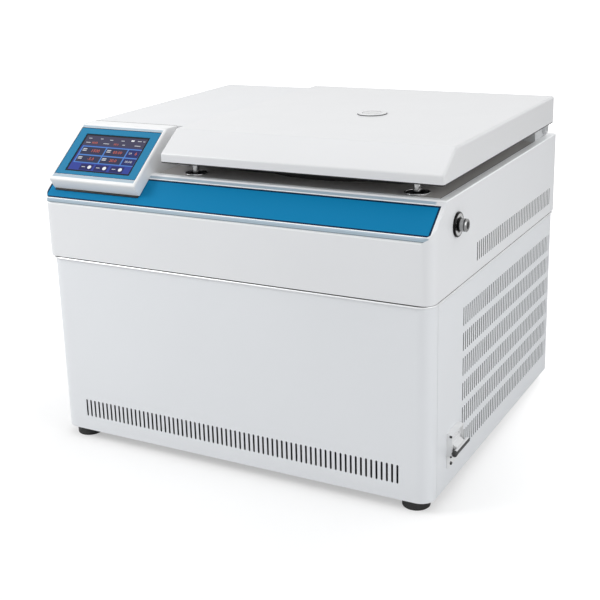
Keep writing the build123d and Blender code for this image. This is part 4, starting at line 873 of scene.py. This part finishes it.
# ---------------------------------------------------------------- key lock
# The release lock in the housing's side. Its turned flange and barrel are chrome with painted
# reflections: near black, with bright bands on the flange, the barrel's flank and the ring round
# the keyway.
low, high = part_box("lock_barrel")
body_low, body_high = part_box("lock_body")
lock_axis = Vector((0, (body_low.y + body_high.y) / 2, (body_low.z + body_high.z) / 2))
flange_ring = (0.0104, 0.0142)
flank_band = (body_high.x + 0.0028, high.x - 0.0036)
barrel_shoulder = high.x - 0.0026
keyway_radius = 0.0048
lock_metal, shader, place = new_finish("chrome_with_painted_reflections")
radius = place.vector("SUBTRACT", lock_axis).vector("MULTIPLY", (0, 1, 1)).vector("LENGTH")
out = place.axis(0)
on_flange = under(out, body_high.x + 0.0001, 0.0002)
flank = between(out, *flank_band) + step(out, barrel_shoulder, barrel_shoulder + 0.0002)
keyway = step(out, high.x - 0.0004, high.x) * under(radius, keyway_radius, 0.0004)
# Painted reflections: bright bands on near-black chrome.
painted_reflection_bands = on_flange * between(radius, *flange_ring) + (1 - on_flange) * flank * (1 - keyway)
turned = mottle(place, 0.0006, 2.0, (0.1, 1, 1))
shade(shader, place, {
    "Base Color": tint(painted_reflection_bands, grey(0.012), tint(on_flange, grey(0.34), grey(0.75))),
    "Metallic": 1.0,
    "Roughness": 0.13 + 0.12 * turned,
    "Normal": grain(turned, 0.000006),
})
dress("lock_body lock_barrel", lock_metal)

# ---------------------------------------------------------------- circuit breaker
# A white moulded breaker and its hooded frame in the side panel. The toggle is a white blade
# with a black grip that a black knob closes in front; two black screws sit below, and a small
# black plug in the hood.
breaker_white = sprayed(
    "white_breaker_moulding", (0.80, 0.805, 0.81, 1), peel=0.0010, roughness=0.32, depth=0.000010
)
dress("breaker_body breaker_frame", breaker_white)
low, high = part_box("breaker_toggle")
grip_radius = 0.0035
grip = Vector((high.x - grip_radius, low.y, low.z + grip_radius))
blade_foot = grip.z + 0.0026


def off_the_grip(place):
    radius = place.vector("SUBTRACT", grip).vector("MULTIPLY", (1, 0, 1)).vector("LENGTH")
    away = step(radius, grip_radius + 0.0003, grip_radius + 0.0006)
    return away.greater(step(place.axis(2), blade_foot, blade_foot + 0.0004))


toggle_finish = sprayed(
    "black_and_white_toggle", (0.014, 0.014, 0.015, 1), peel=0.0008, roughness=0.28,
    depth=0.000010, bands=[(off_the_grip, (0.80, 0.805, 0.81, 1))],
)
dress("breaker_toggle", toggle_finish)


def spun(bm, outline, place, segments=28):
    """A shape spun from half its outline, given as radius and height pairs, and placed."""
    lathe = bmesh.new()
    verts = [lathe.verts.new((radius, 0, height)) for radius, height in outline]
    edges = [lathe.edges.new(pair) for pair in zip(verts, verts[1:])]
    bmesh.ops.spin(
        lathe, geom=verts + edges, cent=(0, 0, 0), axis=(0, 0, 1), angle=math.tau,
        steps=segments, use_merge=True,
    )
    bmesh.ops.remove_doubles(lathe, verts=lathe.verts, dist=1e-7)
    bmesh.ops.transform(lathe, matrix=place, verts=lathe.verts)
    mesh = bpy.data.meshes.new("spun")
    lathe.to_mesh(mesh)
    lathe.free()
    bm.from_mesh(mesh)
    bpy.data.meshes.remove(mesh)


knob_radius = 0.0038
knob_length = 0.006
knob_sink = 0.0006
knob_back_edge = 0.0010
knob_front_edge = 0.0014
bm = bmesh.new()
spun(bm, (
    (0, -knob_sink), (knob_radius - knob_back_edge, -knob_sink),
    (knob_radius, knob_back_edge - knob_sink), (knob_radius, knob_length - knob_front_edge),
    (knob_radius - knob_front_edge, knob_length), (0, knob_length),
), Matrix.Translation(grip) @ Matrix.Rotation(math.radians(90), 4, "X"))
piece("toggle_end_knob", bm, black_moulding, "toggle")

frame_low, frame_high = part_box("breaker_frame")
frame_flange = 0.0015
breaker_screw = 0.0026
breaker_screw_head = 0.0018
breaker_screw_inset = 0.012
breaker_screw_drops = (0.038, 0.048)
bm = bmesh.new()
for drop in breaker_screw_drops:
    spot = (front_high.x + frame_flange, frame_low.y + breaker_screw_inset, frame_high.z - drop)
    screw(bm, spot, (1, 0, 0), breaker_screw, breaker_screw_head)
piece("breaker_screws", bm, black_moulding, "cabinet")

plug_place = (0.2990, frame_low.y + 0.0002, 0.0893)
plug_size = (0.0036, 0.0014, 0.0032)
bm = bmesh.new()
block(bm, plug_place, plug_size, 0.0004)
piece("hood_plug", bm, black_moulding, "cabinet")

# ---------------------------------------------------------------- chamber
# A deep-drawn stainless bowl, brushed round its axis, with a tall rubber seal round its mouth
# and closed-cell foam behind it.
brushed = patchy(
    "brushed_stainless", (0.004, 4.0, (1, 1, 0.08)), grey(0.52), grey(0.64), gloss=(0.24, 0.16),
    metal=1.0, depth=0.00001,
)
dress("chamber_bowl", brushed)
dress("chamber_gasket", soft_rubber)
cells_per_metre = 500.0
foam, shader, place = new_finish("closed_cell_foam")
cells = place.node("ShaderNodeTexVoronoi", None, {"Vector": place, "Scale": cells_per_metre})
shade(shader, place, {
    "Base Color": tint(cells, grey(0.05), grey(0.11)),
    "Roughness": 0.9,
    "Normal": grain(cells, 0.0003),
})
dress("bowl_insulation", foam)

# ---------------------------------------------------------------- rotor
# A turned and anodised head with six places, numbered 1 to 6, and a black nut with finger
# grips. In each place a spring-steel slide clip tilts on its trunnions and holds a white
# sample funnel against the slide.
anodised = patchy(
    "clear_anodised_aluminium", (0.0012, 3.0), grey(0.55, -0.01), grey(0.66, -0.01),
    gloss=(0.26, 0.12), metal=1.0, depth=0.000008,
)
dress("rotor_head", anodised)
dress("rotor_nut", black_moulding)
spring = patchy(
    "spring_steel", (0.0006, 2.0, (1, 1, 20)), grey(0.55), grey(0.68), gloss=(0.18, 0.14),
    metal=1.0,
)
funnel_white = sprayed(
    "white_polypropylene", (0.80, 0.80, 0.775, 1), peel=0.0008, roughness=0.36, depth=0.000012
)
head_low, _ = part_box("rotor_head")
nut_low, nut_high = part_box("rotor_nut")
rotor_middle = (nut_low + nut_high) / 2
plate_top = head_low.z + 0.008
number_radius = 0.072
number_size = 0.013
places = 6
bm = bmesh.new()
for station in range(1, places + 1):
    dress(f"slide_clip_{station}", spring)
    dress(f"sample_funnel_{station}", funnel_white)
    turn = Matrix.Rotation(math.tau / places * (station - 1), 4, "Z")
    spot = Matrix.Translation((rotor_middle.x, rotor_middle.y, plate_top)) @ turn
    spot = spot @ Matrix.Translation((number_radius, 0, 0)) @ Matrix.Rotation(
        math.radians(-90), 4, "Z"
    )
    figures(bm, str(station), number_size, spot)
engraved = patchy(
    "black_filled_engraving", (0.001, 2.0), grey(0.012), grey(0.03), gloss=(0.5, 0.2)
)
piece("station_numbers", bm, engraved, "rotor")

# ---------------------------------------------------------------- drive and cooling
# The machinery behind the slots: a black drive motor on its steel mount and rubber dampers,
# a stainless spindle through a rubber seal, a black compressor, a bare aluminium condenser
# with its fan, and the motor's finned inverter.
machine_black = sprayed(
    "black_machine_paint", (0.020, 0.020, 0.023, 1), peel=0.0016, roughness=0.30, depth=0.00002
)
dress("drive_motor compressor", machine_black)
dress("motor_mount", zinc)
dress("motor_dampers spindle_seal", soft_rubber)
dress("drive_spindle", brushed)
fins = patchy(
    "bare_aluminium_fins", (0.006, 3.0), grey(0.30), grey(0.42), gloss=(0.34, 0.2), metal=1.0
)
dress("condenser", fins)
dress("fan_frame condenser_fan", black_moulding)
cast = patchy(
    "cast_aluminium", (0.0014, 3.0), grey(0.36), grey(0.47), gloss=(0.45, 0.15), metal=0.8,
    depth=0.00008,
)
dress("motor_inverter", cast)

# ---------------------------------------------------------------- lid
# A white moulded lid with a bevelled front, lined with brushed stainless sheet that six
# screws hold to its ledge. A thin black rubber trim edges its underside and stands in for the
# shade under the lid's edge.
lid_white = sprayed(
    "white_lid", (0.760, 0.764, 0.773, 1), peel=0.0014, roughness=0.27, depth=0.000010
)
dress("lid_shell sight_port_ring", lid_white)
dress("lid_liner", brushed)
liner_low, liner_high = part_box("lid_liner")
liner_screw = 0.0036
liner_screw_head = 0.0016
liner_side_inset = 0.014
liner_front_inset = 0.009
liner_back_inset = 0.012
liner_middle = (liner_low.x + liner_high.x) / 2
bm = bmesh.new()
for x in (liner_low.x + liner_side_inset, liner_middle, liner_high.x - liner_side_inset):
    for y in (liner_low.y + liner_front_inset, liner_high.y - liner_back_inset):
        screw(bm, (x, y, liner_low.z), (0, 0, -1), liner_screw, liner_screw_head)
piece("liner_screws", bm, zinc, "lid")

# A black trim that also stands in for the shade under the lid's edge.
shade_trim_inset = 0.0005
shade_trim_corner = 0.003
shade_trim_width = 0.0026
shade_trim_drop = 0.0018
lid_middle = ((lid_low.x + lid_high.x) / 2, (lid_low.y + lid_high.y) / 2)
shade_trim_half = (lid_high.x - lid_middle[0] - shade_trim_inset, lid_high.y - lid_middle[1] - shade_trim_inset)
bm = round_band(
    lid_middle, shade_trim_half, (shade_trim_corner, shade_trim_corner), shade_trim_width,
    lid_low.z - shade_trim_drop, lid_low.z + 0.0002, 0.0005,
)
piece("lid_edge_trim_and_shade", bm, soft_rubber, "lid")

# ---------------------------------------------------------------- sight port
# A milky window in a white ring, for looking at the spinning rotor. A thin black washer seals
# the ring's flange to the lid and stands in for the contact shadow round the ring.
milky = patchy(
    "milky_window", (0.008, 3.0), grey(0.72, -0.01), grey(0.80, -0.01), gloss=(0.12, 0.08)
)
milky.node_tree.nodes["Principled BSDF"].inputs["Transmission Weight"].default_value = 0.25
dress("sight_port_window", milky)
port_low, port_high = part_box("sight_port_ring")
port = (port_low + port_high) / 2
# A black washer that also stands in for the contact shadow round the port's ring.
shade_washer = (port_high.x - port_low.x) / 2 + 0.0008
shade_washer_width = 0.003
shade_washer_height = 0.0009
shade_washer_round = 0.0003
shade_washer_bore = shade_washer - shade_washer_width
bm = bmesh.new()
spun(bm, (
    (shade_washer_bore, 0), (shade_washer - shade_washer_round, 0), (shade_washer, shade_washer_round),
    (shade_washer, shade_washer_height - shade_washer_round), (shade_washer - shade_washer_round, shade_washer_height),
    (shade_washer_bore, shade_washer_height), (shade_washer_bore, 0),
), Matrix.Translation((port.x, port.y, lid_high.z)), 48)
piece("port_washer_and_shade", bm, soft_rubber, "lid")

# ---------------------------------------------------------------- hinges
# Cast hinge blocks on the deck, painted light grey, with zinc-plated pins, and steel leaves
# under the lid, each fixed with two button-head screws beside its block.
hinge_grey = sprayed(
    "grey_hinge_paint", (0.66, 0.67, 0.68, 1), peel=0.0018, roughness=0.30, depth=0.000016
)
dress("hinge_blocks hinge_leaves", hinge_grey)
dress("hinge_pins", zinc)
low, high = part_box("hinge_leaves")
leaf_half = 0.0163
leaf_thickness = 0.002
leaf_screw = 0.0022
leaf_screw_head = 0.0014
leaf_screw_inset = 0.008
leaf_screw_side = 0.0137
bm = bmesh.new()
for middle in (low.x + leaf_half, high.x - leaf_half):
    for side in (-leaf_screw_side, leaf_screw_side):
        spot = (middle + side, low.y + leaf_screw_inset, high.z - leaf_thickness)
        screw(bm, spot, (0, 0, -1), leaf_screw, leaf_screw_head)
piece("hinge_screws", bm, zinc, "lid")

# ---------------------------------------------------------------- floor, lamps and camera
# A pale studio floor that fades to white away from the cabinet; its glow is dimmer round the
# cabinet's front, a painted shade. Four soft lamps light it: a key from the front left, a wide top
# light, a fill from the right and a faint front light.
floor_size = 14.0
painted_shade_middle = (-0.10, -0.35, 0.0)
painted_shade_fade = (0.25, 1.2)
bm = bmesh.new()
bmesh.ops.create_grid(bm, x_segments=1, y_segments=1, size=floor_size)
studio_floor = bpy.data.objects.new("studio_floor", bpy.data.meshes.new("studio_floor"))
bm.to_mesh(studio_floor.data)
bm.free()
bpy.context.scene.collection.objects.link(studio_floor)
pale = bpy.data.materials.new("pale_floor")
pale.use_nodes = True
tree = pale.node_tree
tree.nodes.clear()
start = Finish(tree, tree.nodes.new("ShaderNodeLightPath").outputs["Is Camera Ray"])
spot = Finish(tree, tree.nodes.new("ShaderNodeTexCoord").outputs["Object"])
# Painted shade: the floor glows less near the cabinet's front.
far = step(spot.vector("SUBTRACT", painted_shade_middle).vector("LENGTH"), *painted_shade_fade)
matt = start.node("ShaderNodeBsdfDiffuse", None, {"Color": grey(0.60)})
glow = start.node("ShaderNodeEmission", None, {"Color": tint(far, grey(0.40), grey(1.0))})
seen = start.node("ShaderNodeAddShader", None, {0: matt, 1: glow})
lit = start.node("ShaderNodeBsdfDiffuse", None, {"Color": grey(0.78)})
either = start.node("ShaderNodeMixShader", None, {0: start, 1: lit, 2: seen})
out = tree.nodes.new("ShaderNodeOutputMaterial")
tree.links.new(either.socket, out.inputs["Surface"])
studio_floor.data.materials.append(pale)

world = bpy.data.worlds.new("studio")
bpy.context.scene.world = world
world.use_nodes = True
tree = world.node_tree
tree.nodes.clear()
path = tree.nodes.new("ShaderNodeLightPath")
seen, mirrored, through = (
    Finish(tree, path.outputs[name])
    for name in ("Is Camera Ray", "Is Glossy Ray", "Is Transmission Ray")
)
direct = seen.greater(mirrored).greater(through)
soft = direct.node("ShaderNodeBackground", None, {"Color": grey(1.0, -0.01), "Strength": 0.50})
white = direct.node("ShaderNodeBackground", None, {"Color": grey(1.0), "Strength": 1.0})
both = direct.node("ShaderNodeMixShader", None, {0: direct, 1: soft, 2: white})
out = tree.nodes.new("ShaderNodeOutputWorld")
tree.links.new(both.socket, out.inputs["Surface"])


def lamp(name, place, aim, size, watts):
    """A soft square lamp, turned to its aim."""
    light = bpy.data.lights.new(name, "AREA")
    light.size = size
    light.energy = watts
    made = bpy.data.objects.new(name, light)
    made.location = place
    made.rotation_euler = (Vector(aim) - Vector(place)).to_track_quat("-Z", "Y").to_euler()
    bpy.context.scene.collection.objects.link(made)


lamp("top_lamp", (0.3, 0.4, 2.6), (0.0, 0.0, 0.3), 2.4, 15.0)
lamp("key_lamp", (-1.45, -1.1, 1.4), (-0.1, 0.0, 0.3), 1.0, 19.5)
lamp("fill_lamp", (2.4, -0.6, 1.3), (0.2, 0.0, 0.2), 1.6, 18.0)
lamp("front_lamp", (1.0, -1.9, 1.5), (-0.1, 0.0, 0.4), 1.0, 1.5)

camera_place = (0.7846, -1.5144, 0.7552)
camera_turn = math.radians(29.948)
camera_dip = math.radians(16.916)
camera_roll = math.radians(-2.110)
lens = bpy.data.cameras.new("camera")
lens.sensor_width = 36.0
lens.lens = 68.64
lens.shift_x = 0.055
lens.shift_y = -0.0567
lens.clip_start = 0.05
camera = bpy.data.objects.new("camera", lens)
bpy.context.scene.collection.objects.link(camera)
camera.matrix_world = (
    Matrix.Translation(camera_place)
    @ Matrix.Rotation(camera_turn, 4, "Z")
    @ Matrix.Rotation(math.radians(90) - camera_dip, 4, "X")
    @ Matrix.Rotation(camera_roll, 4, "Z")
)
bpy.context.scene.camera = camera
bpy.context.scene.view_settings.view_transform = "Standard"
